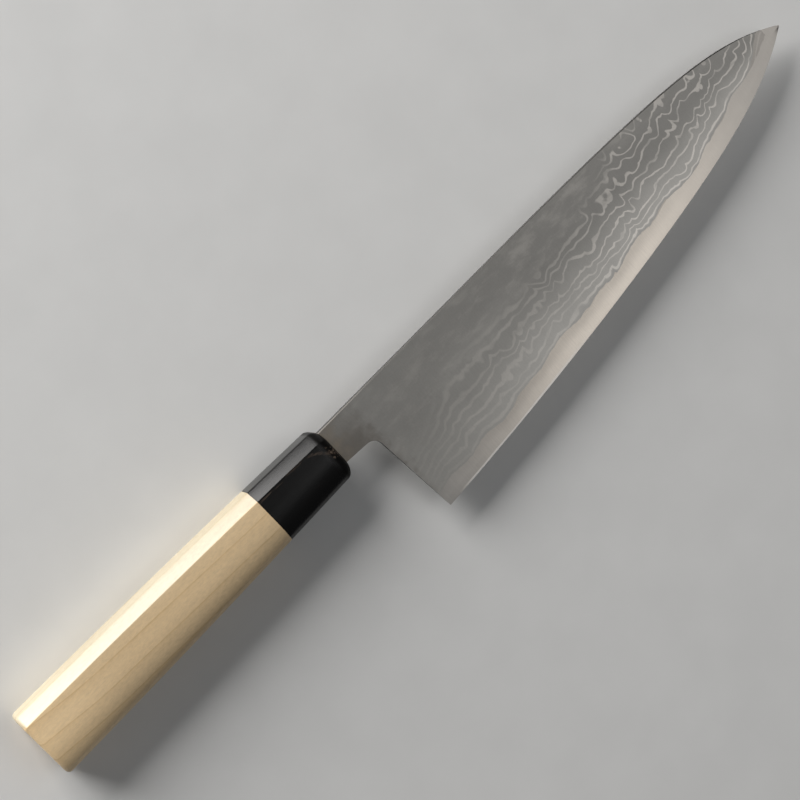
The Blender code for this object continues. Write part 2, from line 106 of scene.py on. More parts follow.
# Layers
CORE_THICKNESS = 0.57 * MM
LONG_RIPPLE = 0.048 * MM
LONG_RIPPLE_LENGTH = 47.0 * MM
SHORT_RIPPLE = 0.032 * MM
SHORT_RIPPLE_LENGTH = 19.0 * MM
CLADDING_FEATHER = 0.04 * MM
CLADDING_TIP_FEATHER = 0.1 * MM
WELD_LINE = 0.02 * MM
CLADDING_PROUD = 0.003 * MM
SEAT_STEP = 0.03 * MM
CORE_OVERLAP = 0.2 * MM

# Where the weld line may run on the flank, as shares of the blade's depth
MOST_CORE_SHARE = 0.95
HIGHEST_WELD_SHARE = 0.97

# Raggedness of the weld line, which calms before the tip
RAGGED_HEIGHT = 0.75 * MM
RAGGED_LENGTH = 7.0 * MM
RAGGED_FINE_SHARE = 0.35
RAGGED_FINER = 4
RAGGED_SIDE_SHIFT = 3.7
TIP_CALM = 12

# Neck inside the ferrule, and the bead round it
HIDDEN_NECK = 8.0 * MM
SEAL_DEPTH = 1.6 * MM
SEAL_PROUD = 0.15 * MM
SEAL_MARGIN_Y = 0.8 * MM
SEAL_MARGIN_Z = 0.6 * MM

# The bead's rings: how far in from its rim, and how proud of the dome as a share of SEAL_PROUD
BEAD_RINGS = ((0, -0.3), (0, 0.4), (0.12 * MM, 0.8), (0.3 * MM, 1.0), (0.55 * MM, 1.0))

# The two facets with a crown, by the corner that each starts from
SPINE_FACETS = (0, 6)

# How finely the curves are divided
ARRIS_SEGMENTS = 5
PALM_SEGMENTS = 16
SIDE_SEGMENTS = 4
ROUND_SEGMENTS = 8
DOME_SEGMENTS = 16
BARREL_RINGS = 40
NECK_COLUMNS = 10
CHOIL_COLUMNS = 14
BLADE_COLUMNS = 560
TIP_COLUMNS = 30
NECK_ROWS = 8
FLANK_ROWS = 22
BARE_ROWS = 8
BEAD_SEGMENTS = 16
BISECTIONS = 40
SHARP_ANGLE = math.radians(25)
CORE_SHARP_ANGLE = math.radians(5)

# Marks on the steel, which tell its materials where a point lies: 0 at the bottom of a layer, 1 at
# the spine, and two higher ones for the eased corner and the faces between the flanks
MARK_MAP = "layers"
MARK_LENGTH = 100.0
MARK_MARGIN = 1.0
WELD_MARK = 0.001
CORE_MARK = 0.9
SPINE_MARK = 0.9999
EASE_MARK = 5.0
RIM_MARK = 9.0

TIP_X = NECK_LENGTH + BLADE_LENGTH
EDGE_AT_HEEL = SPINE_ABOVE_AXIS - HEEL_DEPTH
TIP_Y = SPINE_ABOVE_AXIS - TIP_BELOW_SPINE
NECK_UNDERSIDE = SPINE_ABOVE_AXIS - NECK_HEIGHT

# Camera: where it looks, its turns in radians, and how far away it stands
LOOK_AT = Vector((25.62, -4.26, 0.0)) * MM
CAMERA_TILT = 0.1904
CAMERA_PITCH = 0.1554
CAMERA_ROLL = 0.7619
CAMERA_DISTANCE = 944.7 * MM
CAMERA_LENS = 137.7
SENSOR_WIDTH = 36.0
CLIP_START = 0.05
CLIP_END = 20.0

# Floor, lights and sky
FLOOR_HALF_SIDE = 3.0
FLOOR_DROP = 0.1 * MM
FLOOR_GREY = (0.72, 0.72, 0.71, 1)
FLOOR_PALE = (0.76, 0.76, 0.75, 1)
FLOOR_CLOUD = ((0.05, 0.05, 0.05), 3.0)
FLOOR_CLOUD_EDGE = (-0.4, 0.4)
FLOOR_ROUGHNESS = 0.85
KEY_DIRECTION = (-0.2, 0.90, 0.37)
KEY_TINT = (1.0, 0.985, 0.97)
TOP_DIRECTION = (0.48, -0.21, 0.96)
SKY_TINT = (0.93, 0.96, 1.0, 1.0)
SKY_LIGHT = 0.07
SKY_SEEN = 0.75

# Places of a mix node's sockets, a noise's middle, and a scale of one
MIX_FACTOR, MIX_A, MIX_B, MIX_RESULT = 0, 6, 7, 2
NOISE_MIDDLE = 0.5
UNSCALED = (1, 1, 1)


def mix(a, b, share):
    return a + (b - a) * share


def handle_share(x):
    return -x / HANDLE_LENGTH


def handle_height(x):
    share = handle_share(x)
    return mix(FRONT_HEIGHT, BUTT_HEIGHT, share) + 4 * HANDLE_SWELL * share * (1 - share)


def handle_thickness(x):
    return mix(FRONT_THICKNESS, BUTT_THICKNESS, handle_share(x))


def handle_facet(x):
    return mix(FRONT_FACET, BUTT_FACET, handle_share(x))


SHOULDER_X = -HANDLE_LENGTH + BUTT_ROUND

# Where the handle's axis leaves the ferrule, seen from the knife's middle
ORIGIN = Vector((
    -(TIP_X - HANDLE_LENGTH) / 2,
    -(handle_height(SHOULDER_X) / 2 + EDGE_AT_HEEL) / 2,
    handle_thickness(SHOULDER_X) / 2,
))


def octagon_corners(half_y, half_z, facet):
    """Each corner and its rounding's reach back and ahead: a length, and its largest share."""
    ridge = (RIDGE_REACH, ARRIS_SHARE)
    spine_side = (SPINE_SIDE_REACH, ARRIS_SHARE)
    palm_side = (PALM_SIDE_REACH, PALM_SIDE_SHARE)
    palm_flat = (PALM_REACH_FLAT, PALM_SHARE)
    palm_facet = (PALM_REACH_FACET, PALM_SHARE)
    upper = [
        ((half_y, half_z - facet), spine_side, spine_side, ARRIS_SEGMENTS),
        ((half_y - facet, half_z), ridge, ridge, ARRIS_SEGMENTS),
        ((facet - half_y, half_z), palm_flat, palm_facet, PALM_SEGMENTS),
        ((-half_y, half_z - facet), palm_side, palm_side, ARRIS_SEGMENTS),
    ]
    lower = [((y, -z), ahead, back, count) for (y, z), back, ahead, count in reversed(upper)]
    return upper + lower


def rounded_corner(corner, before, after, back, ahead, segments):
    """A curve that leaves one side of the octagon and runs into the next."""
    towards_before = before - corner
    towards_after = after - corner
    towards_before *= min(back[0] / towards_before.length, back[1])
    towards_after *= min(ahead[0] / towards_after.length, ahead[1])
    return [
        corner + towards_before * (1 - share) ** 2 + towards_after * share**2
        for share in stations(0, 1, segments)
    ]


def side_points(start, end, crowned):
    """Points inside one side of the octagon, flat or slightly crowned by hand finishing."""
    side = end - start
    outward = Vector((side.y, -side.x)) * (FACET_CROWN if crowned else 0.0)
    shares = stations(0, 1, SIDE_SEGMENTS)[1:-1]
    return [start + side * share + outward * 4 * share * (1 - share) for share in shares]


def octagon_ring(x, section_x, inset):
    """The handle's outline: crisp ridges towards the spine and a soft crown under the fingers."""
    half_y = handle_height(section_x) / 2 - inset
    half_z = handle_thickness(section_x) / 2 - inset
    facet = max(PALM_SIDE_REACH, handle_facet(section_x) - (2 - math.sqrt(2)) * inset)
    corners = octagon_corners(half_y, half_z, facet)
    places = [Vector(corner[0]) for corner in corners]
    arcs = []
    for i, (_, back, ahead, segments) in enumerate(corners):
        after = places[(i + 1) % len(places)]
        arcs.append(rounded_corner(places[i], places[i - 1], after, back, ahead, segments))
    ring = []
    for i, arc in enumerate(arcs):
        following = arcs[(i + 1) % len(arcs)]
        ring += arc + side_points(arc[-1], following[0], i in SPINE_FACETS)
    return [(x, point.x, point.y) for point in ring]


def stations(start, end, count):
    return [mix(start, end, i / count) for i in range(count + 1)]


def wood_rings():
    rings = []
    for step in range(ROUND_SEGMENTS):
        angle = step / ROUND_SEGMENTS * math.pi / 2
        x = SHOULDER_X - BUTT_ROUND * math.cos(angle)
        rings.append(octagon_ring(x, SHOULDER_X, BUTT_ROUND * (1 - math.sin(angle))))
    barrel = stations(SHOULDER_X, -FERRULE_LENGTH - BOND_LINE, BARREL_RINGS)
    return rings + [octagon_ring(x, x, 0) for x in barrel]


def horn_rings():
    barrel = stations(-FERRULE_LENGTH, -DOME_LENGTH, BARREL_RINGS // 2)
    rings = [octagon_ring(x, x, 0) for x in barrel]
    for step in range(1, DOME_SEGMENTS + 1):
        angle = step / DOME_SEGMENTS * math.pi / 2
        x = -DOME_LENGTH * (1 - math.sin(angle))
        rings.append(octagon_ring(x, -DOME_LENGTH, DOME_INSET * (1 - math.cos(angle))))
    return rings


def dome_x(y):
    flat = handle_height(-DOME_LENGTH) / 2 - DOME_INSET
    turned = min(1.0, max(0.0, (abs(y) - flat) / DOME_INSET))
    return -DOME_LENGTH * (1 - math.sqrt(1 - turned**2))


def spine_y(x):
    sweep_start = NECK_LENGTH + SPINE_STRAIGHT
    share = max(0.0, (x - sweep_start) / (TIP_X - sweep_start))
    sweep = SPINE_SWEEP * share**SPINE_SWEEP_POWER
    tip_fall = TIP_BELOW_SPINE - TIP_BLUNTNESS / 2 - SPINE_SWEEP
    return SPINE_ABOVE_AXIS - sweep - tip_fall * share**SPINE_TIP_POWER


def blade_share(x):
    return min(1.0, max(0.0, (x - NECK_LENGTH) / BLADE_LENGTH))


def edge_y(x):
    share = blade_share(x)
    rise = TIP_Y - TIP_BLUNTNESS / 2 - EDGE_AT_HEEL
    flat_rise = (rise - EDGE_BELLY - EDGE_TIP_CURL) * share
    belly = EDGE_BELLY * share**EDGE_BELLY_POWER
    return EDGE_AT_HEEL + flat_rise + belly + EDGE_TIP_CURL * share**EDGE_CURL_POWER


def spine_thickness(x):
    if x < 0:
        return mix(NECK_THICKNESS, TANG_END_THICKNESS, -x / TANG_LENGTH)
    if x < NECK_LENGTH:
        return mix(NECK_THICKNESS, HEEL_THICKNESS, x / NECK_LENGTH)
    share = blade_share(x)
    from_heel = (HEEL_THICKNESS - MIDDLE_THICKNESS) * (1 - share) ** HEEL_TAPER_POWER
    to_tip = (MIDDLE_THICKNESS - TIP_THICKNESS) * share**TIP_TAPER_POWER
    return MIDDLE_THICKNESS + from_heel - to_tip


def core_thickness(x):
    along = max(0.0, x - NECK_LENGTH)
    long_wave = LONG_RIPPLE * math.sin(2 * math.pi * along / LONG_RIPPLE_LENGTH)
    short_wave = SHORT_RIPPLE * math.sin(2 * math.pi * along / SHORT_RIPPLE_LENGTH)
    return CORE_THICKNESS + long_wave + short_wave


def grind_thickness(x, height_share):
    convex = 1 - (1 - height_share) ** GRIND_POWER
    return mix(BEHIND_EDGE_THICKNESS, spine_thickness(x), convex)


def ragged(x, side):
    """How far the forging has pushed the weld up or down, so that its line is not smooth."""
    place = Vector((x / RAGGED_LENGTH, side * RAGGED_SIDE_SHIFT, 0.0))
    fine = RAGGED_FINE_SHARE * noise.noise(place * RAGGED_FINER)
    return RAGGED_HEIGHT * (noise.noise(place) + fine)


def lamination_share(x, side):
    """How far up from the edge the core shows on one side, where the flank cuts the cladding."""
    core = core_thickness(x) + 2 * CLADDING_FEATHER - BEHIND_EDGE_THICKNESS
    spine = spine_thickness(x) - BEHIND_EDGE_THICKNESS
    even = 1 - (1 - min(MOST_CORE_SHARE, core / spine)) ** (1 / GRIND_POWER)
    height = spine_y(x) - edge_y(x)
    calm = min(1.0, (1 - blade_share(x)) * TIP_CALM)
    return min(HIGHEST_WELD_SHARE, even + calm * ragged(x, side) / height)


def cladding_end():
    """Where the cladding has thinned to its feather before the tip."""
    low, high = (NECK_LENGTH + TIP_X) / 2, TIP_X
    for _ in range(BISECTIONS):
        middle = (low + high) / 2
        left = spine_thickness(middle) - core_thickness(middle) - 2 * CLADDING_FEATHER
        low, high = (middle, high) if left > CLADDING_TIP_FEATHER else (low, middle)
    return low


def neck_thickness(x, y):
    depth = min(1.0, max(0.0, (SPINE_ABOVE_AXIS - y) / HEEL_DEPTH))
    return grind_thickness(x, 1 - depth)


def heel_line_x(y):
    return NECK_LENGTH - math.tan(HEEL_LEAN_ANGLE) * (y - EDGE_AT_HEEL)


def choil_arc():
    """The middle of the choil's arc, which touches the neck's underside and the heel's line."""
    flare, lean = NECK_FLARE_ANGLE, HEEL_LEAN_ANGLE
    centre_line = NECK_UNDERSIDE - CHOIL_RADIUS / math.cos(flare)
    heel_line = heel_line_x(0) - CHOIL_RADIUS / math.cos(lean)
    across = heel_line - math.tan(lean) * centre_line
    x = across / (1 - math.tan(lean) * math.tan(flare))
    return x, centre_line - math.tan(flare) * x


def column(top, bottom, rows):
    """Points from the spine down, with one just below it for its eased corner."""
    ease = min(SPINE_EASE / (top[1] - bottom[1]), 0.5 / rows)
    shares = [0.0, ease] + [i / rows for i in range(1, rows + 1)]
    return [(mix(top[0], bottom[0], s), mix(top[1], bottom[1], s)) for s in shares]


def neck_columns():
    """The neck's columns, from inside the ferrule to the heel, with their stations."""
    columns = []
    centre_x, centre_y = choil_arc()
    first_angle = math.pi / 2 - NECK_FLARE_ANGLE
    arc_start = centre_x + CHOIL_RADIUS * math.cos(first_angle)
    slope = math.tan(NECK_FLARE_ANGLE)
    for x in stations(-HIDDEN_NECK, arc_start, NECK_COLUMNS)[:-1]:
        underside = NECK_UNDERSIDE - slope * max(0.0, x)
        columns.append((x, column((x, SPINE_ABOVE_AXIS), (x, underside), NECK_ROWS)))
    for step in range(CHOIL_COLUMNS):
        share = step / CHOIL_COLUMNS
        angle = mix(first_angle, HEEL_LEAN_ANGLE, share)
        x = centre_x + CHOIL_RADIUS * math.cos(angle)
        y = centre_y + CHOIL_RADIUS * math.sin(angle)
        top_x = mix(arc_start, heel_line_x(SPINE_ABOVE_AXIS), share)
        station = mix(arc_start, NECK_LENGTH, share)
        columns.append((station, column((top_x, SPINE_ABOVE_AXIS), (x, y), NECK_ROWS)))
    return columns


def blade_frame(x):
    """The spine and the edge at one station, whose line leans like the heel."""
    bottom = Vector((x, edge_y(x)))
    top_x = x - math.tan(HEEL_LEAN_ANGLE) * (spine_y(x) - bottom.y)
    return Vector((top_x, spine_y(top_x))), bottom


def choil_share(side):
    """How far down the cladding at the heel its row of points meets the choil."""
    top, bottom = blade_frame(NECK_LENGTH)
    centre_y = choil_arc()[1]
    corner_depth = top.y - centre_y - CHOIL_RADIUS * math.sin(HEEL_LEAN_ANGLE)
    return corner_depth / ((top.y - bottom.y) * (1 - lamination_share(NECK_LENGTH, side)))


def covered_column(x, lamination, seat, first_share):
    """Points from the spine down to the weld line, or short of it by the seat."""
    top, bottom = blade_frame(x)
    height = (top - bottom).length
    line = top.lerp(bottom, 1 - lamination + seat / height)
    choil = top.lerp(line, first_share)
    points = column(top, choil, NECK_ROWS)
    points += [tuple(choil.lerp(line, i / FLANK_ROWS)) for i in range(1, FLANK_ROWS + 1)]
    return points


def exposed_column(x, lamination):
    """Points from below the weld line to the edge, and their shares of the blade's depth."""
    top, bottom = blade_frame(x)
    height = (top - bottom).length
    start = lamination - 2 * SEAT_STEP / height
    bevel = min(BEVEL_HEIGHT / height, 0.5 * start)
    shares = [mix(start, bevel, i / BARE_ROWS) for i in range(BARE_ROWS + 1)] + [0.0]
    return [tuple(bottom.lerp(top, share)) for share in shares], shares


def eased(outer, inner, row):
    """The flank's height in one row, drawn in at the spine's corner."""
    return outer - min(SPINE_EASE, 0.5 * (outer - inner)) if row == 0 else outer


def blade_places():
    return stations(NECK_LENGTH, cladding_end(), BLADE_COLUMNS)


def layer_mark(x, y, lamination):
    """How far up the cladding a point lies, from 0 at the weld line to 1 at the spine."""
    inside = max(NECK_LENGTH, x)
    low = mix(edge_y(inside), spine_y(inside), lamination)
    return (y - low) / max(MM, spine_y(inside) - low)


def cladding_columns(side):
    grid = []
    first_share = choil_share(side)
    heel_line = lamination_share(NECK_LENGTH, side)
    for station, points in neck_columns():
        cells = []
        for row, (x, y) in enumerate(points):
            inner = core_thickness(0) / 2 + WELD_LINE
            outer = eased(neck_thickness(station, y) / 2 + CLADDING_PROUD, inner, row)
            cells.append((x, y, side * outer, side * inner, layer_mark(x, y, heel_line)))
        grid.append(cells)
    for place in blade_places():
        lamination = lamination_share(place, side)
        points = covered_column(place, lamination, 0, first_share)
        top, bottom = blade_frame(place)
        cells = []
        inner = core_thickness(place) / 2 + WELD_LINE
        for row, (x, y) in enumerate(points):
            share = (y - bottom.y) / (top.y - bottom.y)
            outer = max(grind_thickness(place, share) / 2, inner + WELD_LINE) + CLADDING_PROUD
            mark = (share - lamination) / (1 - lamination)
            cells.append((x, y, side * eased(outer, inner, row), side * inner, mark))
        grid.append(cells)
    return grid


def core_columns():
    """The core, column by column. Its bare band starts a little above the higher weld line."""
    neck_half = core_thickness(0) / 2
    first_share = choil_share(1)
    grid = []
    for _, points in neck_columns():
        grid.append([(x, y, neck_half, -neck_half, CORE_MARK) for x, y in points])
    places = blade_places()
    places[-1] += SEAT_STEP
    for place in places:
        grid.append(core_cells(place, first_share, False))
    for place in stations(places[-1] + SEAT_STEP, TIP_X, TIP_COLUMNS):
        grid.append(core_cells(place, first_share, True))
    return grid


def core_cells(place, first_share, bare):
    """One column of the core, which fills the whole blade where it is bare before the tip."""
    higher = max(lamination_share(place, 1), lamination_share(place, -1))
    lamination = higher + CORE_OVERLAP / HEEL_DEPTH
    top, bottom = blade_frame(place)
    points = covered_column(place, lamination, SEAT_STEP, first_share)
    halves = []
    inner = core_thickness(place) / 2
    for row, (x, y) in enumerate(points):
        share = (y - bottom.y) / (top.y - bottom.y)
        surface = grind_thickness(place, share) / 2
        if bare:
            halves.append(eased(surface, 0, row))
        else:
            halves.append(min(inner, surface))
    bare_points, shares = exposed_column(place, lamination)
    halves += [grind_thickness(place, share) / 2 for share in shares[:-1]] + [EDGE_LAND / 2]
    cells = []
    for (x, y), half in zip(points + bare_points, halves):
        share = (y - bottom.y) / (top.y - bottom.y)
        cells.append((x, y, half, -half, min(CORE_MARK, share / lamination)))
    return cells


def slab(grid):
    """A closed body between two height fields, with each point's mark and the first rim face."""
    vertices, marks, upper, lower = [], [], {}, {}
    for i, cells in enumerate(grid):
        for j, (x, y, high, low, mark) in enumerate(cells):
            upper[i, j] = len(vertices)
            vertices.append((x, y, high))
            lower[i, j] = len(vertices)
            vertices.append((x, y, low))
            marks += [mark, mark]
    faces, rim = [], {}
    for i in range(len(grid) - 1):
        for j in range(min(len(grid[i]), len(grid[i + 1])) - 1):
            loop = [(i, j), (i + 1, j), (i + 1, j + 1), (i, j + 1)]
            faces.append([upper[key] for key in loop])
            faces.append([lower[key] for key in reversed(loop)])
            for a, b in zip(loop, loop[1:] + loop[:1]):
                if rim.pop((b, a), None) is None:
                    rim[a, b] = True
    first_rim_face = len(faces)
    faces += [[upper[b], upper[a], lower[a], lower[b]] for a, b in rim]
    return vertices, faces, (marks, first_rim_face)


def loft(rings):
    """A closed skin over rings with the same number of points."""
    count = len(rings[0])
    vertices = [point for ring in rings for point in ring]
    faces = [tuple(range(count)), tuple(range(len(vertices) - count, len(vertices)))]
    for start in range(0, len(vertices) - count, count):
        for i in range(count):
            after = (i + 1) % count
            faces.append((start + i, start + after, start + count + after, start + count + i))
    return vertices, faces


def bead_outline(inset):
    """The bead's outline across the neck, some way in from its rim."""
    bottom = NECK_UNDERSIDE - SEAL_MARGIN_Y + inset
    top = SPINE_ABOVE_AXIS + SEAL_MARGIN_Y - inset
    right = []
    for y in stations(bottom, top, BEAD_SEGMENTS):
        right.append((y, neck_thickness(0, y) / 2 + SEAL_MARGIN_Z - inset))
    return right + [(y, -z) for y, z in reversed(right)]


def bead_rings():
    """The resin bead round the neck: it follows the dome and ends in a rounded lip."""
    rings = [[(-SEAL_DEPTH, y, z) for y, z in bead_outline(0)]]
    for inset, proud in BEAD_RINGS:
        lip = SEAL_PROUD * proud
        rings.append([(max(dome_x(y) + lip, -SEAL_DEPTH), y, z) for y, z in bead_outline(inset)])
    return rings


def write_marks(mesh, vertices, marks, first_rim_face):
    """A map of the flank: how far along, in units of MARK_LENGTH millimetres, and the mark."""
    layer = mesh.uv_layers.new(name=MARK_MAP)
    for polygon in mesh.polygons:
        corners = [mesh.loops[index].vertex_index for index in polygon.loop_indices]
        highest = max(marks[corner] for corner in corners)
        for index, corner in zip(polygon.loop_indices, corners):
            mark = EASE_MARK if highest > SPINE_MARK else marks[corner]
            if polygon.index >= first_rim_face and highest > WELD_MARK:
                mark = RIM_MARK
            layer.data[index].uv = (vertices[corner][0] / (MARK_LENGTH * MM), mark)


def new_object(name, data):
    made = bpy.data.objects.new(name, data)
    bpy.context.collection.objects.link(made)
    return made


def new_piece(name, vertices, faces, material, node, slot, marks=None, sharp=SHARP_ANGLE):
    mesh = bpy.data.meshes.new(name)
    mesh.from_pydata([Vector(point) + ORIGIN for point in vertices], [], faces)
    if marks:
        write_marks(mesh, vertices, *marks)
    shape = bmesh.new()
    shape.from_mesh(mesh)
    bmesh.ops.recalc_face_normals(shape, faces=shape.faces)
    shape.to_mesh(mesh)
    shape.free()
    mesh.shade_smooth()
    mesh.set_sharp_from_angle(angle=sharp)
    mesh.materials.append(material)
    piece = new_object(name, mesh)
    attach(piece, "root")
    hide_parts(node)


class Graph:
    """One material, with short calls that add nodes and wire them."""

    def __init__(self, name):
        self.material = bpy.data.materials.new(name)
        self.material.use_nodes = True
        self.tree = self.material.node_tree
        self.shader = self.tree.nodes["Principled BSDF"]

    def wire(self, source, socket):
        if isinstance(source, bpy.types.NodeSocket):
            self.tree.links.new(source, socket)
        else:
            socket.default_value = source

    def set(self, name, source):
        self.wire(source, self.shader.inputs[name])

    def node(self, kind, sources, **settings):
        """A new node with these settings, whose inputs are wired or set."""
        made = self.tree.nodes.new("ShaderNode" + kind)
        for key, value in settings.items():
            setattr(made, key, value)
        for name, source in sources.items():
            self.wire(source, made.inputs[name])
        return made

    def position(self):
        """The place on the object, in millimetres."""
        sources = {0: self.node("TexCoord", {}).outputs["Object"], "Scale": 1 / MM}
        return self.node("VectorMath", sources, operation="SCALE").outputs["Vector"]

    def parts(self, vector):
        outputs = self.node("SeparateXYZ", {0: vector}).outputs
        return outputs["X"], outputs["Y"], outputs["Z"]

    def grey(self, level):
        return self.node("CombineXYZ", {"X": level, "Y": level, "Z": level}).outputs["Vector"]

    def mapped(self, vector, scale, location=(0, 0, 0), turn=(0, 0, 0)):
        sources = {"Vector": vector, "Scale": scale, "Location": location, "Rotation": turn}
        return self.node("Mapping", sources).outputs["Vector"]

    def math(self, operation, *sources):
        made = self.node("Math", dict(enumerate(sources)), operation=operation)
        return made.outputs["Value"]

    def minus(self, a, b):
        return self.math("SUBTRACT", a, b)

    def total(self, *values):
        result = values[0]
        for value in values[1:]:
            result = self.math("ADD", result, value)
        return result

    def times(self, *values):
        result = values[0]
        for value in values[1:]:
            result = self.math("MULTIPLY", result, value)
        return result

    def blend(self, base, *shares):
        """A base value, and on top of it each source times its share."""
        return self.total(base, *[self.times(source, share) for source, share in shares])

    def noise(self, vector, cells, detail=2.0, roughness=0.5, shift=(0, 0, 0)):
        """Noise about 0, from roughly -0.5 to 0.5."""
        place = self.mapped(vector, cells, shift)
        sources = {"Vector": place, "Scale": 1.0, "Detail": detail, "Roughness": roughness}
        return self.minus(self.node("TexNoise", sources).outputs["Fac"], NOISE_MIDDLE)

    def scatter(self, vector, cells):
        """Distance to the nearest of scattered points, which makes pointed ridges."""
        sources = {"Vector": self.mapped(vector, cells), "Scale": 1.0}
        return self.node("TexVoronoi", sources).outputs["Distance"]

    def ramp(self, value, start, end, low=0.0, high=1.0):
        limits = {"From Min": start, "From Max": end, "To Min": low, "To Max": high}
        sources = {"Value": value, **limits}
        return self.node("MapRange", sources, interpolation_type="SMOOTHSTEP").outputs["Result"]

    def ramps(self, value, *ramps):
        """Several ramps of one value, multiplied."""
        return self.times(*[self.ramp(value, *ramp) for ramp in ramps])

    def color(self, factor, a, b, kind="MIX"):
        sources = {MIX_FACTOR: factor, MIX_A: a, MIX_B: b}
        return self.node("Mix", sources, data_type="RGBA", blend_type=kind).outputs[MIX_RESULT]

    def bump(self, height, distance, strength):
        sources = {"Height": height, "Distance": distance, "Strength": strength}
        self.set("Normal", self.node("Bump", sources).outputs["Normal"])


# Colours of the steel
# FIELD_REAR is the field's grey with painted light for the rear of the flank
FIELD_REAR = (0.335, 0.325, 0.305, 1.0)
FIELD_GREY = (0.305, 0.295, 0.277, 1.0)
LINE_GREY = (0.475, 0.45, 0.417, 1.0)
DARK_GREY = (0.26, 0.252, 0.24, 1.0)
# CORE_REAR, CORE_BRIGHT and CORE_TIP paint the core's reflection, brightest in the middle of the
# blade
CORE_BRIGHT = (0.97, 0.88, 0.775, 1.0)
CORE_REAR = (0.445, 0.425, 0.40, 1.0)
CORE_TIP = (0.443, 0.415, 0.382, 1.0)
# Painted highlight on the edge bevel
BEVEL_GLINT = (1.0, 0.96, 0.90, 1.0)
# Painted shade on the faces between the flanks and on the spine's eased corner
RIM_SHADE = (0.16, 0.155, 0.15, 1.0)
EASE_SHADE_REAR = (0.115, 0.108, 0.10, 1.0)
EASE_SHADE_FRONT = (0.078, 0.075, 0.071, 1.0)
NECK_BROWN = (0.31, 0.262, 0.205, 1.0)
NECK_DARK = (0.19, 0.172, 0.15, 1.0)

# A ramp is written as its start, its end, and its values there, which are 0 and 1 if left out.
# Along the blade it counts in millimetres from the heel. A noise is written as its cells per
# millimetre along, across and up, then its detail, its roughness and its shift.

# What both steels share
# The core's painted reflection, brightening from the heel and fading towards the tip
CORE_REFLECTION_GROWS = (-12.0, 72.0)
CORE_REFLECTION_FADES = (80.0, 174.0)
# Where the eased corner's painted shade changes along the blade
EASE_SHADE_CHANGES = (-8.0, 12.0)
SCRATCH_CELLS_UP = 0.3
SCRATCH_DETAIL = (3.0, 0.6)


def scratches(graph, place, length, width):
    """Fine lines left by the last abrasive, running from the spine to the edge."""
    return graph.noise(place, (1 / width, 1 / length, SCRATCH_CELLS_UP), *SCRATCH_DETAIL)


def core_tone_with_reflection(graph, along):
    """Painted reflection: the core is brightest in the middle of the blade and darker towards the
    heel and the tip.
    """
    tone = graph.color(graph.ramp(along, *CORE_REFLECTION_GROWS), CORE_REAR, CORE_BRIGHT)
    return graph.color(graph.ramp(along, *CORE_REFLECTION_FADES), tone, CORE_TIP)


def shaded(graph, tone, *shades):
    """A tone made lighter or darker by shades about 0."""
    level = graph.total(1.0, *shades)
    return graph.color(1.0, tone, graph.grey(level), "MULTIPLY")


def flank_marks(graph):
    """Millimetres along from the heel, and the mark across the flank."""
    marks = graph.node("UVMap", {}, uv_map=MARK_MAP).outputs["UV"]
    u, mark, _ = graph.parts(marks)
    return graph.minus(graph.times(u, MARK_LENGTH), NECK_LENGTH / MM), mark


def spine_painted_shade(graph, tone, along, mark):
    """Painted shade: the spine's eased corner and the faces between the flanks are coloured darker
    than the flanks.
    """
    ease = graph.color(graph.ramp(along, *EASE_SHADE_CHANGES), EASE_SHADE_REAR, EASE_SHADE_FRONT)
    tone = graph.color(graph.math("GREATER_THAN", mark, EASE_MARK - MARK_MARGIN), tone, ease)
    return graph.color(graph.math("GREATER_THAN", mark, RIM_MARK - MARK_MARGIN), tone, RIM_SHADE)


# Core steel: ground lines, a shade that deepens towards the weld line, and a painted highlight on
# the honed bevel near the heel
CORE_SCRATCHES = (5.0, 0.16)
CORE_SCRATCH_SHADE = 0.30
CORE_CLOUD = ((0.25, 0.25, 0.25), 3.0)
CORE_CLOUD_SHADE = 0.10
INWARD_SHADE = (0.1, 0.9, 0.0, -0.30)
INWARD_GROWS = (0.0, 45.0, 0.3, 1.0)
INWARD_FADES = (90.0, 135.0, 1.0, 0.2)
EDGE_GLINT_STARTS = (4.0, 12.0)
EDGE_GLINT_ENDS = (50.0, 75.0, 0.8, 0.0)
EDGE_GLINT_HEIGHT = (0.06, 0.13, 1.0, 0.0)
CORE_ROUGHNESS = 0.40
CORE_SCRATCH_ROUGHNESS = 0.12
CORE_BUMP = (0.004 * MM, 0.6)


def core_material():
    graph = Graph("hard core steel")
    place = graph.position()
    along, mark = flank_marks(graph)
    strokes = scratches(graph, place, *CORE_SCRATCHES)
    inward = graph.times(
        graph.ramp(mark, *INWARD_SHADE),
        graph.ramp(along, *INWARD_GROWS),
        graph.ramp(along, *INWARD_FADES),
    )
    scratch = graph.times(strokes, CORE_SCRATCH_SHADE)
    cloud = graph.times(graph.noise(place, *CORE_CLOUD), CORE_CLOUD_SHADE)
    tone = shaded(graph, core_tone_with_reflection(graph, along), inward, scratch, cloud)
    # Painted highlight: a bright line on the bevel near the heel
    edge_glint = graph.ramps(along, EDGE_GLINT_STARTS, EDGE_GLINT_ENDS)
    edge_glint = graph.times(edge_glint, graph.ramp(mark, *EDGE_GLINT_HEIGHT))
    tone = graph.color(edge_glint, tone, BEVEL_GLINT)
    graph.set("Base Color", spine_painted_shade(graph, tone, along, mark))
    graph.set("Metallic", 1.0)
    graph.set("Roughness", graph.blend(CORE_ROUGHNESS, (strokes, CORE_SCRATCH_ROUGHNESS)))
    graph.bump(strokes, *CORE_BUMP)
    return graph.material


# Layers of the cladding: how many there are from the weld line to the spine
LAYER_COUNT = (-6.0, 26.0, 15.0, 9.5)
LAYER_POWER = 1.35
NARROWS_FROM = 60.0
NARROWS_OVER = 122.0
NARROWEST = 0.01
NARROWING_POWER = 0.75
HIGHEST_SHARE = 0.999

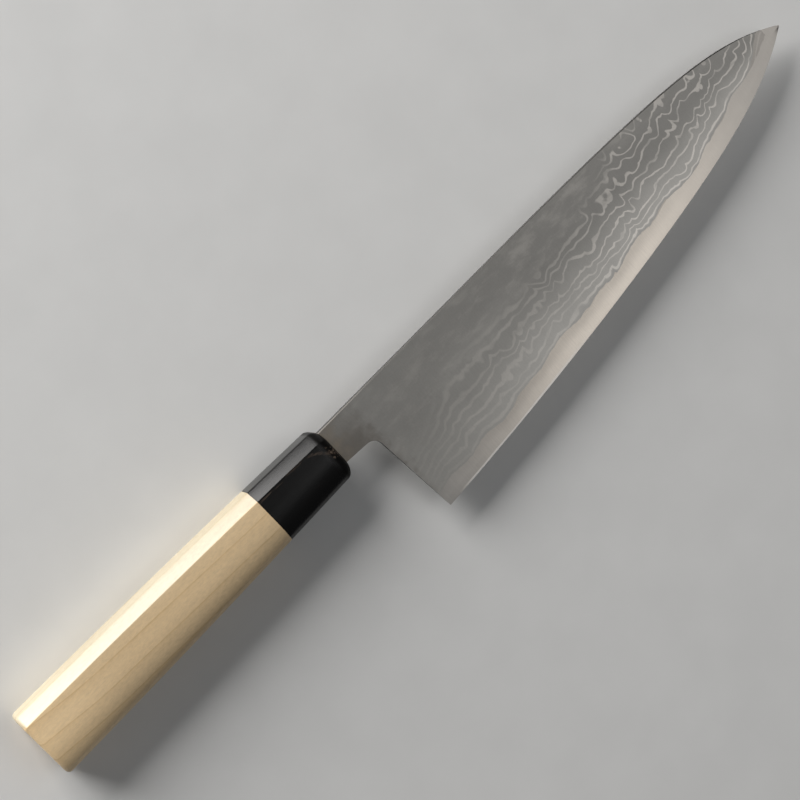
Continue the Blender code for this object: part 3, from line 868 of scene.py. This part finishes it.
# How the forging has pushed them about: long swells, waves, pointed kinks and small jags
FIRST_LAYER_CALM = (0.0, 1.2, 0.4, 1.0)
WAVES_GROW = (-5.0, 95.0, 0.42, 1.0)
WAVES_SETTLE = (150.0, 178.0, 1.0, 0.5)
SWELL = ((1 / 30, 1 / 9, 0), 1.0)
WAVE = ((1 / 9, 1 / 6, 0), 1.0)
JAGS = ((1 / 2.2, 1 / 2.2, 0), 2.0)
SWELL_HEIGHT, WAVE_HEIGHT, JAG_HEIGHT = 2.2, 1.3, 0.18
RESTLESS = ((1 / 20, 1 / 14, 0), 2.0)
RESTLESS_KINKS = (-0.12, 0.12, 0.25, 1.0)
PEAK_CELLS = (1 / 5, 1 / 6, 0)
PEAK_MIDDLE = 0.45
PEAK_HEIGHT = 1.1
NOTCHES = ((1 / 4.5, 1 / 9, 0), 0.0, 0.5, (7.0, 3.0, 0))
NOTCH_HEIGHT = -3.1
KINK_MIDDLE = 0.3
LAYERS_SINK = (162.0, 180.0, 0.0, 1.8)


def even_layers(graph, along, share):
    """Which layer would show at a point if the forging were even, counted up from the weld line."""
    left = graph.math("POWER", graph.minus(1.0, share), LAYER_POWER)
    depth = graph.minus(1.0, left)
    beyond = graph.math("DIVIDE", graph.minus(along, NARROWS_FROM), NARROWS_OVER)
    beyond = graph.math("MAXIMUM", 0.0, beyond)
    narrowing = graph.minus(1.0, graph.times(beyond, beyond))
    narrowing = graph.math("MAXIMUM", NARROWEST, narrowing)
    narrowing = graph.math("POWER", narrowing, NARROWING_POWER)
    return graph.times(depth, graph.times(graph.ramp(along, *LAYER_COUNT), narrowing))


def layer_warp(graph, along, even, place):
    """How many layers up or down the forging has pushed the steel at a point."""
    settle = graph.times(
        graph.ramp(even, *FIRST_LAYER_CALM),
        graph.ramp(along, *WAVES_GROW),
        graph.ramp(along, *WAVES_SETTLE),
    )
    swell = graph.times(graph.noise(place, *SWELL), SWELL_HEIGHT)
    wave = graph.times(graph.noise(place, *WAVE), WAVE_HEIGHT)
    peaks = graph.minus(graph.scatter(place, PEAK_CELLS), PEAK_MIDDLE)
    peaks = graph.times(peaks, PEAK_HEIGHT)
    notches = graph.times(graph.math("ABSOLUTE", graph.noise(place, *NOTCHES)), NOTCH_HEIGHT)
    restless = graph.ramp(graph.noise(place, *RESTLESS), *RESTLESS_KINKS)
    kinks = graph.times(graph.total(peaks, notches, KINK_MIDDLE), restless)
    jags = graph.times(graph.noise(place, *JAGS), JAG_HEIGHT)
    warp = graph.times(settle, graph.total(swell, wave, kinks, jags))
    return graph.total(warp, graph.ramp(along, *LAYERS_SINK))


# Light lines: one in each layer, clearer towards the front, and none above a certain layer
LINE_PLACE = 0.42
HALF_LAYER = 0.5
LINES_REACH = (0.0, 60.0, 6.6, 7.4)
LINES_REACH_MORE = (98.0, 142.0, 0.0, 6.0)
FUZZ_ALONG = (20.0, 110.0, 0.16, 0.05)
FUZZ_UP = (-3.0, 0.0, 0.0, 0.16)
LINE_BREADTH = 0.075
BREADTH = ((1 / 5, 1 / 5, 0), 2.0)
BREADTH_VARIES = 0.12
PATCHES = ((1 / 9, 1 / 4, 0), 2.0)
PATCH_STRENGTH = (-0.22, 0.06, 0.4, 1.0)
CLEAR_REAR = (-5.0, 30.0, 0.16, 0.45)
CLEAR_FRONT = (62.0, 104.0, 0.0, 0.55)
LINES_STOP = (-1.6, 0.4, 1.0, 0.0)

# Pale blotches above the lines
BLOTCHES = ((1 / 12, 1 / 5, 0), 5.0, 0.66)
BLOTCH_EDGE = (-0.05, 0.2)
BLOTCHES_START = (-2.5, 0.5)
BLOTCHES_AT_SPINE = (0.75, 1.0, 0.0, 0.8)
BLOTCH_STRENGTH = (0.0, 90.0, 0.3, 0.42)


def light_layers(graph, along, share, place, even, layer):
    """How strongly the lighter steel shows, as lines and as blotches above them."""
    nearest = graph.math("PINGPONG", graph.minus(layer, LINE_PLACE), HALF_LAYER)
    reach = graph.total(graph.ramp(along, *LINES_REACH), graph.ramp(along, *LINES_REACH_MORE))
    high = graph.minus(even, reach)
    fuzz = graph.total(graph.ramp(along, *FUZZ_ALONG), graph.ramp(high, *FUZZ_UP))
    breadth = graph.blend(LINE_BREADTH, (graph.noise(place, *BREADTH), BREADTH_VARIES))
    line = graph.ramp(nearest, breadth, graph.total(breadth, fuzz), 1.0, 0.0)
    patchy = graph.ramp(graph.noise(place, *PATCHES), *PATCH_STRENGTH)
    clear = graph.total(graph.ramp(along, *CLEAR_REAR), graph.ramp(along, *CLEAR_FRONT))
    line = graph.times(line, patchy, clear, graph.ramp(high, *LINES_STOP))
    at_spine = graph.ramp(share, *BLOTCHES_AT_SPINE)
    above = graph.math("MAXIMUM", graph.ramp(high, *BLOTCHES_START), at_spine)
    blotch = graph.ramp(graph.noise(place, *BLOTCHES), *BLOTCH_EDGE)
    blotch = graph.times(blotch, above, graph.ramp(along, *BLOTCH_STRENGTH))
    return graph.math("MAXIMUM", line, blotch)


# How the tones of the layers change along the blade and up the flank, with painted light that lifts
# them low on the flank, more so towards the front
REAR_LIGHT_FADES = (0.0, 70.0)
LOW_ON_FLANK = (0.0, 0.6, 1.0, 0.0)
LOW_GROWS = (0.0, 60.0, 0.26, 0.85)
LOW_FADES = (110.0, 165.0, 1.0, 0.6)
LOW_ON_LINES = (80.0, 145.0, 0.66, 0.5)
DARK_STARTS = (0.0, 0.05)
DARK_ENDS = (0.12, 0.28, 1.0, 0.0)
DARK_FADES = (158.0, 172.0, 1.0, 0.2)
DARK_GROWS = (30.0, 100.0, 0.0, 0.8)
WELD_EDGE = (-0.04, 0.03, 1.0, 0.0)
WELD_DARKENS = (0.0, 45.0, -0.08, -0.24)
WELD_DARKENING_FADES = (110.0, 170.0, 1.0, 0.2)


def layered_tone(graph, along, share, light, layer):
    """The layers, painted lighter low on the flank, a dark line over the weld line, and the core's
    own tone below it.
    """
    # Painted light: the field lighter at the rear of the flank
    plain = graph.color(graph.ramp(along, *REAR_LIGHT_FADES), FIELD_REAR, FIELD_GREY)
    # Painted light: lighter low on the flank, on the lines as well
    low = graph.times(graph.ramp(share, *LOW_ON_FLANK), graph.ramp(along, *LOW_GROWS))
    low = graph.times(low, graph.ramp(along, *LOW_FADES))
    lit = graph.times(low, graph.ramp(along, *LOW_ON_LINES))
    field = graph.color(light, shaded(graph, plain, low), shaded(graph, LINE_GREY, lit))
    dark = graph.ramps(layer, DARK_STARTS, DARK_ENDS)
    dark = graph.times(dark, graph.ramp(along, *DARK_FADES), graph.ramp(along, *DARK_GROWS))
    field = graph.color(dark, field, shaded(graph, DARK_GREY, low))
    # The core's tone where it shows in the cladding, darker along the middle of the blade
    weld = shaded(graph, core_tone_with_reflection(graph, along), graph.ramps(along, WELD_DARKENS, WELD_DARKENING_FADES))
    return graph.color(graph.ramp(layer, *WELD_EDGE), field, weld)


# The neck: brown at the ferrule, with a darker smudge ahead, in millimetres from the ferrule
WANDER = ((0.3, 0.3, 0.0), 2.0)
WANDER_LENGTH = 12.0
BROWN_FADES = (-1.0, 8.0, 0.8, 0.0)
SMUDGE_STARTS = (-4.0, 5.0)
SMUDGE_ENDS = (8.0, 16.0, 1.0, 0.0)
SMUDGE_UP_FLANK = (0.74, 0.95, 0.75, 0.25)


def neck_tone(graph, field, along, mark, place):
    """The flank's tone with the neck's stains laid over it."""
    wander = graph.times(graph.noise(place, *WANDER), WANDER_LENGTH)
    neck = graph.total(along, NECK_LENGTH / MM, wander)
    field = graph.color(graph.ramp(neck, *BROWN_FADES), field, NECK_BROWN)
    smudge = graph.ramps(neck, SMUDGE_STARTS, SMUDGE_ENDS)
    smudge = graph.times(smudge, graph.ramp(mark, *SMUDGE_UP_FLANK))
    return graph.color(smudge, field, NECK_DARK)


# A painted pool of light in the middle of the flank near the heel
LIGHT_POOL_STARTS = (12.0, 34.0)
LIGHT_POOL_ENDS = (42.0, 75.0, 1.0, 0.0)
LIGHT_POOL_UP_FLANK = (0.35, 0.58)
LIGHT_POOL_TOWARDS_SPINE = (0.58, 0.8, 1.0, 0.0)
LIGHT_POOL_STRENGTH = 0.17

# Surface of the cladding. The shades are those of its scratches, its grit and its cloud.
CLADDING_SCRATCHES = (4.0, 0.22)
GRIT = ((2.2, 2.2, 2.2), 2.0)
CLADDING_CLOUD = ((0.12, 0.2, 0.1), 3.0)
CLADDING_SHADES = (0.14, 0.16, 0.14)
CLADDING_ROUGHNESS = 0.47
LIGHT_ROUGHNESS = -0.06
GRIT_ROUGHNESS = 0.05
LIGHT_RELIEF = 0.6
SCRATCH_RELIEF = 0.3
CLADDING_BUMP = (0.006 * MM, 0.5)

# Where each flank's pattern lies in the noise, in millimetres
RIGHT_SHIFT = 88.0
LEFT_SHIFT = 137.0
SHIFT_ACROSS = 0.4


# Painted light: how much lighter the pool makes the flank at a point
def light_pool(graph, along, share):
    lengthwise = graph.ramps(along, LIGHT_POOL_STARTS, LIGHT_POOL_ENDS)
    upward = graph.ramp(share, *LIGHT_POOL_UP_FLANK)
    return graph.times(lengthwise, upward, graph.ramp(share, *LIGHT_POOL_TOWARDS_SPINE), LIGHT_POOL_STRENGTH)


def cladding_material(name, shift):
    """Layers of two steels, forged uneven and ground through, so that their edges show as lines."""
    graph = Graph(name)
    place = graph.mapped(graph.position(), UNSCALED, (shift, SHIFT_ACROSS * shift, 0))
    along, mark = flank_marks(graph)
    share = graph.math("MINIMUM", mark, HIGHEST_SHARE)
    even = even_layers(graph, along, share)
    layer = graph.minus(even, layer_warp(graph, along, even, place))
    light = light_layers(graph, along, share, place, even, layer)
    field = layered_tone(graph, along, share, light, layer)
    field = neck_tone(graph, field, along, mark, place)
    strokes = scratches(graph, place, *CLADDING_SCRATCHES)
    grit = graph.noise(place, *GRIT)
    kinds = (strokes, grit, graph.noise(place, *CLADDING_CLOUD))
    shades = [graph.times(kind, strength) for kind, strength in zip(kinds, CLADDING_SHADES)]
    field = shaded(graph, field, *shades, light_pool(graph, along, share))
    graph.set("Base Color", spine_painted_shade(graph, field, along, mark))
    graph.set("Metallic", 1.0)
    rough = graph.blend(CLADDING_ROUGHNESS, (light, LIGHT_ROUGHNESS), (grit, GRIT_ROUGHNESS))
    graph.set("Roughness", rough)
    relief = graph.blend(graph.times(light, LIGHT_RELIEF), (strokes, SCRATCH_RELIEF))
    graph.bump(relief, *CLADDING_BUMP)
    return graph.material


# Colours of the wood
WOOD_PALE = (0.80, 0.597, 0.35, 1.0)
WOOD_STREAK = (0.61, 0.41, 0.19, 1.0)
WOOD_PORE = (0.50, 0.34, 0.18, 1.0)
# Painted highlight on the faces towards the key light
WOOD_LIT_FACES = (0.78, 0.91, 1.12, 1.0)

# Growth rings: the tree's middle, the rings' spacing in millimetres, and where in a ring it darkens
PITH_PLACE = (0, 62.0, 34.0)
PITH_TURN = (0.0, 0.0, 0.05)
RING_SPACING = 5.45
RING_START = 0.47
DRIFT = ((0.012, 0.05, 0.05), 2.0)
DRIFT_RINGS = 0.4
RINGS_BEND = (-168.0, -132.0, 0.26, 0.0)
RING_DARKENS = (0.5, 0.97, 0.0, 0.3)
LATE_WOOD = (0.88, 0.97, 0.0, 0.75)
RING_ENDS = (0.97, 1.0, 1.0, 0.0)

# Grain of the wood
FIBRES = ((0.1, 1.6, 1.6), 6.0, 0.72)
FINE_GRAIN = ((0.5, 3.0, 3.0), 4.0, 0.75)
FINE_SHADE = 0.3
MOTTLE = ((0.55, 1.1, 1.1), 3.0, 0.7)
MOTTLE_SHADE = 0.36
WOOD_CLOUD = ((0.02, 0.15, 0.15), 2.0)
STREAK_SHARE = 0.5
STREAK_LEVEL = 0.12
PORES = (0.05, 0.3)
PORE_SHARE = 0.3

# Painted light towards the butt and painted shade on the palm side, in millimetres from the knife's
# middle
BUTT_PAINTED_LIGHT = (-162.0, -125.0, 0.24, 0.04)
PALM_PAINTED_SHADE = (4.0, 14.0, -0.15, 0.0)

# The ridge above which the faces towards the key light are painted paler and less yellow, a painted
# highlight, in millimetres above the handle's axis
RIDGE_AT_ORIGIN = 6.0
RIDGE_SLOPE = -0.017
RIDGE_BLEND = (-0.2, 0.6)

# Surface of the wood
WOOD_ROUGHNESS = 0.44
FIBRE_ROUGHNESS = 0.15
FIBRE_RELIEF = 0.6
WOOD_BUMP = (0.03 * MM, 0.35)


def late_wood(graph, place, x):
    """How dark the growth ring is at a point: it darkens towards its end and then starts afresh."""
    drift = graph.times(graph.noise(place, *DRIFT), DRIFT_RINGS)
    _, across, up = graph.parts(graph.mapped(place, UNSCALED, PITH_PLACE, PITH_TURN))
    radius = graph.math("SQRT", graph.total(graph.times(across, across), graph.times(up, up)))
    turns = graph.total(graph.times(radius, 1 / RING_SPACING), drift, RING_START)
    turns = graph.minus(turns, graph.ramp(x, *RINGS_BEND))
    ring = graph.math("FRACT", turns)
    ends = graph.ramp(ring, *RING_ENDS)
    late = graph.times(graph.ramp(ring, *LATE_WOOD), ends)
    return graph.total(late, graph.times(graph.ramp(ring, *RING_DARKENS), ends))


def above_ridge(graph, x, y):
    """Millimetres above the ridge between the handle's top and its facet towards the spine."""
    along = graph.minus(x, ORIGIN.x / MM)
    ridge = graph.total(ORIGIN.y / MM + RIDGE_AT_ORIGIN, graph.times(along, RIDGE_SLOPE))
    return graph.minus(y, ridge)


def wood_material():
    """A pale even wood, cut so that its growth rings cross the handle's top at a small angle."""
    graph = Graph("pale handle wood")
    place = graph.position()
    x, y, _ = graph.parts(place)
    fibres = graph.noise(place, *FIBRES)
    fine = graph.noise(place, *FINE_GRAIN)
    mottle = graph.noise(place, *MOTTLE)
    kinds = (late_wood(graph, place, x), fibres, graph.noise(place, *WOOD_CLOUD))
    streak = graph.total(*[graph.times(kind, STREAK_SHARE) for kind in kinds], STREAK_LEVEL)
    tone = graph.color(graph.math("MAXIMUM", streak, 0.0), WOOD_PALE, WOOD_STREAK)
    tone = graph.color(graph.times(graph.ramp(fine, *PORES), PORE_SHARE), tone, WOOD_PORE)
    # Painted light: the wood paler towards the butt
    butt_light = graph.ramp(x, *BUTT_PAINTED_LIGHT)
    # Painted shade: the palm side darker
    palm_shade = graph.ramp(y, *PALM_PAINTED_SHADE)
    grain = graph.total(graph.times(fine, FINE_SHADE), graph.times(mottle, MOTTLE_SHADE))
    tone = shaded(graph, tone, butt_light, palm_shade, grain)
    # Painted highlight: the faces above the ridge paler and less yellow
    lit_faces = graph.ramp(above_ridge(graph, x, y), *RIDGE_BLEND)
    graph.set("Base Color", graph.color(lit_faces, tone, WOOD_LIT_FACES, "MULTIPLY"))
    graph.set("Specular IOR Level", 1.0)
    graph.set("Roughness", graph.blend(WOOD_ROUGHNESS, (fibres, FIBRE_ROUGHNESS)))
    graph.bump(graph.blend(fine, (fibres, FIBRE_RELIEF)), *WOOD_BUMP)
    return graph.material


# Colours of the horn
HORN_BLACK = (0.003, 0.0027, 0.0025, 1.0)
# Brown of the horn's streak, which along the ridge is a painted glint
HORN_BROWN_AND_GLINT = (0.06, 0.043, 0.032, 1.0)
HORN_FLECK = (0.26, 0.20, 0.155, 1.0)

# The horn's streak, in millimetres from the ferrule's front and above the handle's axis. Along the
# ridge it is a painted glint, and at the front it dips to the mouth as the horn's own brown streak.
STREAK_DIPS = (-12.0, 1.5)
DIP_POWER = 1.7
STREAK_Y = 5.6
STREAK_DIP = -6.6
STREAK_WAVER = 1.2
STREAK_WIDTH = 0.45
STREAK_WIDENS = 1.3
STREAK_HEART = 0.3
STREAK_FIBRES = (-0.16, 0.12, 0.15, 1.0)
BREAKS = ((0.25, 0.8, 0.8), 2.0)
BREAK_EDGE = (-0.12, 0.08, 0.1, 1.0)
FAINT_FIBRES = (0.05, 0.3)
FAINT_SHARE = 0.06

# Pale flecks beside the streak at the front
SPECKS = ((0.7, 1.6, 1.6), 3.0)
SPECK_EDGE = (0.05, 0.16)
SPECKS_ASIDE = (1.2, 2.8, 1.0, 0.0)
SPECKS_START = (-4.0, -1.5)

# Surface of the horn: polished sides and a duller front
HORN_FIBRES = ((0.14, 1.8, 1.8), 4.0, 0.62)
FRONT_STARTS = (-4.6, -2.6)
HORN_ROUGHNESS = 0.22
HORN_FIBRE_ROUGHNESS = 0.10
FRONT_ROUGHNESS = 0.2
HORN_SPECULAR = 0.42
FRONT_SPECULAR_LOSS = 0.3
HORN_BUMP = (0.02 * MM, 0.25)


def horn_streak_and_glint(graph, local_x, local_y, fibres):
    """Millimetres aside from the streak's middle, and how strongly the streak shows there."""
    dip = graph.math("POWER", graph.ramp(local_x, *STREAK_DIPS), DIP_POWER)
    middle = graph.blend(STREAK_Y, (dip, STREAK_DIP), (fibres, STREAK_WAVER))
    aside = graph.math("ABSOLUTE", graph.minus(local_y, middle))
    width = graph.blend(STREAK_WIDTH, (dip, STREAK_WIDENS))
    return aside, graph.ramp(aside, graph.times(width, STREAK_HEART), width, 1.0, 0.0)


def horn_material():
    """Near-black horn with a brown streak that dips to the mouth of the slot; along the ridge the
    streak is a painted glint.
    """
    graph = Graph("polished dark horn")
    place = graph.position()
    x, y, _ = graph.parts(place)
    local_x = graph.minus(x, ORIGIN.x / MM)
    local_y = graph.minus(y, ORIGIN.y / MM)
    fibres = graph.noise(place, *HORN_FIBRES)
    aside, band = horn_streak_and_glint(graph, local_x, local_y, fibres)
    broken = graph.ramp(graph.noise(place, *BREAKS), *BREAK_EDGE)
    streak_and_glint = graph.times(band, graph.ramp(fibres, *STREAK_FIBRES), broken)
    faint = graph.times(graph.ramp(fibres, *FAINT_FIBRES), FAINT_SHARE)
    tone = graph.color(graph.math("MAXIMUM", streak_and_glint, faint), HORN_BLACK, HORN_BROWN_AND_GLINT)
    specks = graph.ramp(graph.noise(place, *SPECKS), *SPECK_EDGE)
    beside = graph.ramp(aside, *SPECKS_ASIDE)
    flecks = graph.times(specks, beside, graph.ramp(local_x, *SPECKS_START))
    graph.set("Base Color", graph.color(flecks, tone, HORN_FLECK))
    front = graph.ramp(local_x, *FRONT_STARTS)
    rough = graph.blend(HORN_ROUGHNESS, (fibres, HORN_FIBRE_ROUGHNESS), (front, FRONT_ROUGHNESS))
    graph.set("Roughness", rough)
    dulled = graph.times(front, FRONT_SPECULAR_LOSS)
    graph.set("Specular IOR Level", graph.minus(HORN_SPECULAR, dulled))
    graph.bump(fibres, *HORN_BUMP)
    return graph.material


# Resin
RESIN_DARK = (0.035, 0.022, 0.014, 1.0)
RESIN_LIGHT = (0.12, 0.075, 0.04, 1.0)
RESIN_SPECKS = ((0.9, 0.9, 0.9), 3.0)
RESIN_SPECK_EDGE = (-0.2, 0.25)
RESIN_ROUGHNESS = 0.3
SPECK_ROUGHNESS = 0.1
RESIN_BUMP = (0.03 * MM, 0.3)


def resin_material():
    graph = Graph("set resin")
    specks = graph.noise(graph.position(), *RESIN_SPECKS)
    tone = graph.color(graph.ramp(specks, *RESIN_SPECK_EDGE), RESIN_DARK, RESIN_LIGHT)
    graph.set("Base Color", tone)
    graph.set("Roughness", graph.blend(RESIN_ROUGHNESS, (specks, SPECK_ROUGHNESS)))
    graph.bump(specks, *RESIN_BUMP)
    return graph.material


def make_blade():
    core = core_material()
    right = cladding_material("layered steel right", RIGHT_SHIFT)
    left = cladding_material("layered steel left", LEFT_SHIFT)
    for name, columns, material, node, slot, sharp in (
        ("core_layer", core_columns(), core, "core_steel", "core_steel", CORE_SHARP_ANGLE),
        ("right_layer", cladding_columns(1), right, "cladding_right", "cladding", SHARP_ANGLE),
        ("left_layer", cladding_columns(-1), left, "cladding_left", "cladding", SHARP_ANGLE),
    ):
        vertices, faces, marks = slab(columns)
        new_piece(name, vertices, faces, material, node, slot, marks, sharp)


def make_handle():
    new_piece("wooden_handle", *loft(wood_rings()), wood_material(), "handle_body", "wood")
    new_piece("horn_cap", *loft(horn_rings()), horn_material(), "horn_ferrule", "horn")
    resin = resin_material()
    new_piece("resin_bead", *loft(bead_rings()), resin, "mouth_seal", "resin")
    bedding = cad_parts["tang_bedding"]
    bedding.data.materials.clear()
    bedding.data.materials.append(resin)


def make_floor():
    mesh = bpy.data.meshes.new("floor")
    half = FLOOR_HALF_SIDE
    corners = [(-half, -half), (half, -half), (half, half), (-half, half)]
    mesh.from_pydata([(x, y, -FLOOR_DROP) for x, y in corners], [], [(0, 1, 2, 3)])
    graph = Graph("pale floor")
    cloud = graph.noise(graph.position(), *FLOOR_CLOUD)
    tone = graph.color(graph.ramp(cloud, *FLOOR_CLOUD_EDGE), FLOOR_GREY, FLOOR_PALE)
    graph.set("Base Color", tone)
    graph.set("Roughness", FLOOR_ROUGHNESS)
    mesh.materials.append(graph.material)
    new_object("floor", mesh)


def area_light(name, direction, distance, size, power, tint=(1.0, 1.0, 1.0)):
    """A square light that shines on the middle of the knife."""
    light = bpy.data.lights.new(name, "AREA")
    light.shape = "SQUARE"
    light.size = size
    light.energy = power
    light.color = tint
    lamp = new_object(name, light)
    away = Vector(direction).normalized()
    lamp.location = away * distance
    lamp.rotation_mode = "QUATERNION"
    lamp.rotation_quaternion = away.to_track_quat("Z", "Y")


def make_lights():
    area_light("key", KEY_DIRECTION, distance=1.7, size=1.15, power=42.0, tint=KEY_TINT)
    area_light("overhead", TOP_DIRECTION, distance=1.8, size=0.95, power=4.1)


def make_sky():
    """A faint even light, which the view itself sees brighter."""
    world = bpy.data.worlds.new("studio")
    bpy.context.scene.world = world
    world.use_nodes = True
    tree = world.node_tree
    background = tree.nodes["Background"]
    background.inputs["Color"].default_value = SKY_TINT
    seen = tree.nodes.new("ShaderNodeLightPath")
    level = tree.nodes.new("ShaderNodeMapRange")
    level.inputs["To Min"].default_value = SKY_LIGHT
    level.inputs["To Max"].default_value = SKY_SEEN
    tree.links.new(seen.outputs["Is Camera Ray"], level.inputs["Value"])
    tree.links.new(level.outputs["Result"], background.inputs["Strength"])


def make_camera():
    data = bpy.data.cameras.new("camera")
    data.lens = CAMERA_LENS
    data.sensor_width = SENSOR_WIDTH
    data.clip_start = CLIP_START
    data.clip_end = CLIP_END
    camera = new_object("camera", data)
    roll = Matrix.Rotation(CAMERA_ROLL, 3, "Z")
    tilt = Matrix.Rotation(CAMERA_TILT, 3, "X")
    pitch = Matrix.Rotation(CAMERA_PITCH, 3, "Y")
    turn = (roll @ tilt @ pitch).transposed()
    away = turn @ Vector((0, 0, 1))
    place = Matrix.Translation(LOOK_AT + ORIGIN + away * CAMERA_DISTANCE)
    camera.matrix_world = place @ turn.to_4x4()
    bpy.context.scene.camera = camera


def write_size():
    bpy.context.view_layer.update()


bpy.context.scene.view_settings.view_transform = "Standard"
make_blade()
make_handle()
make_floor()
make_lights()
make_sky()
make_camera()
write_size()
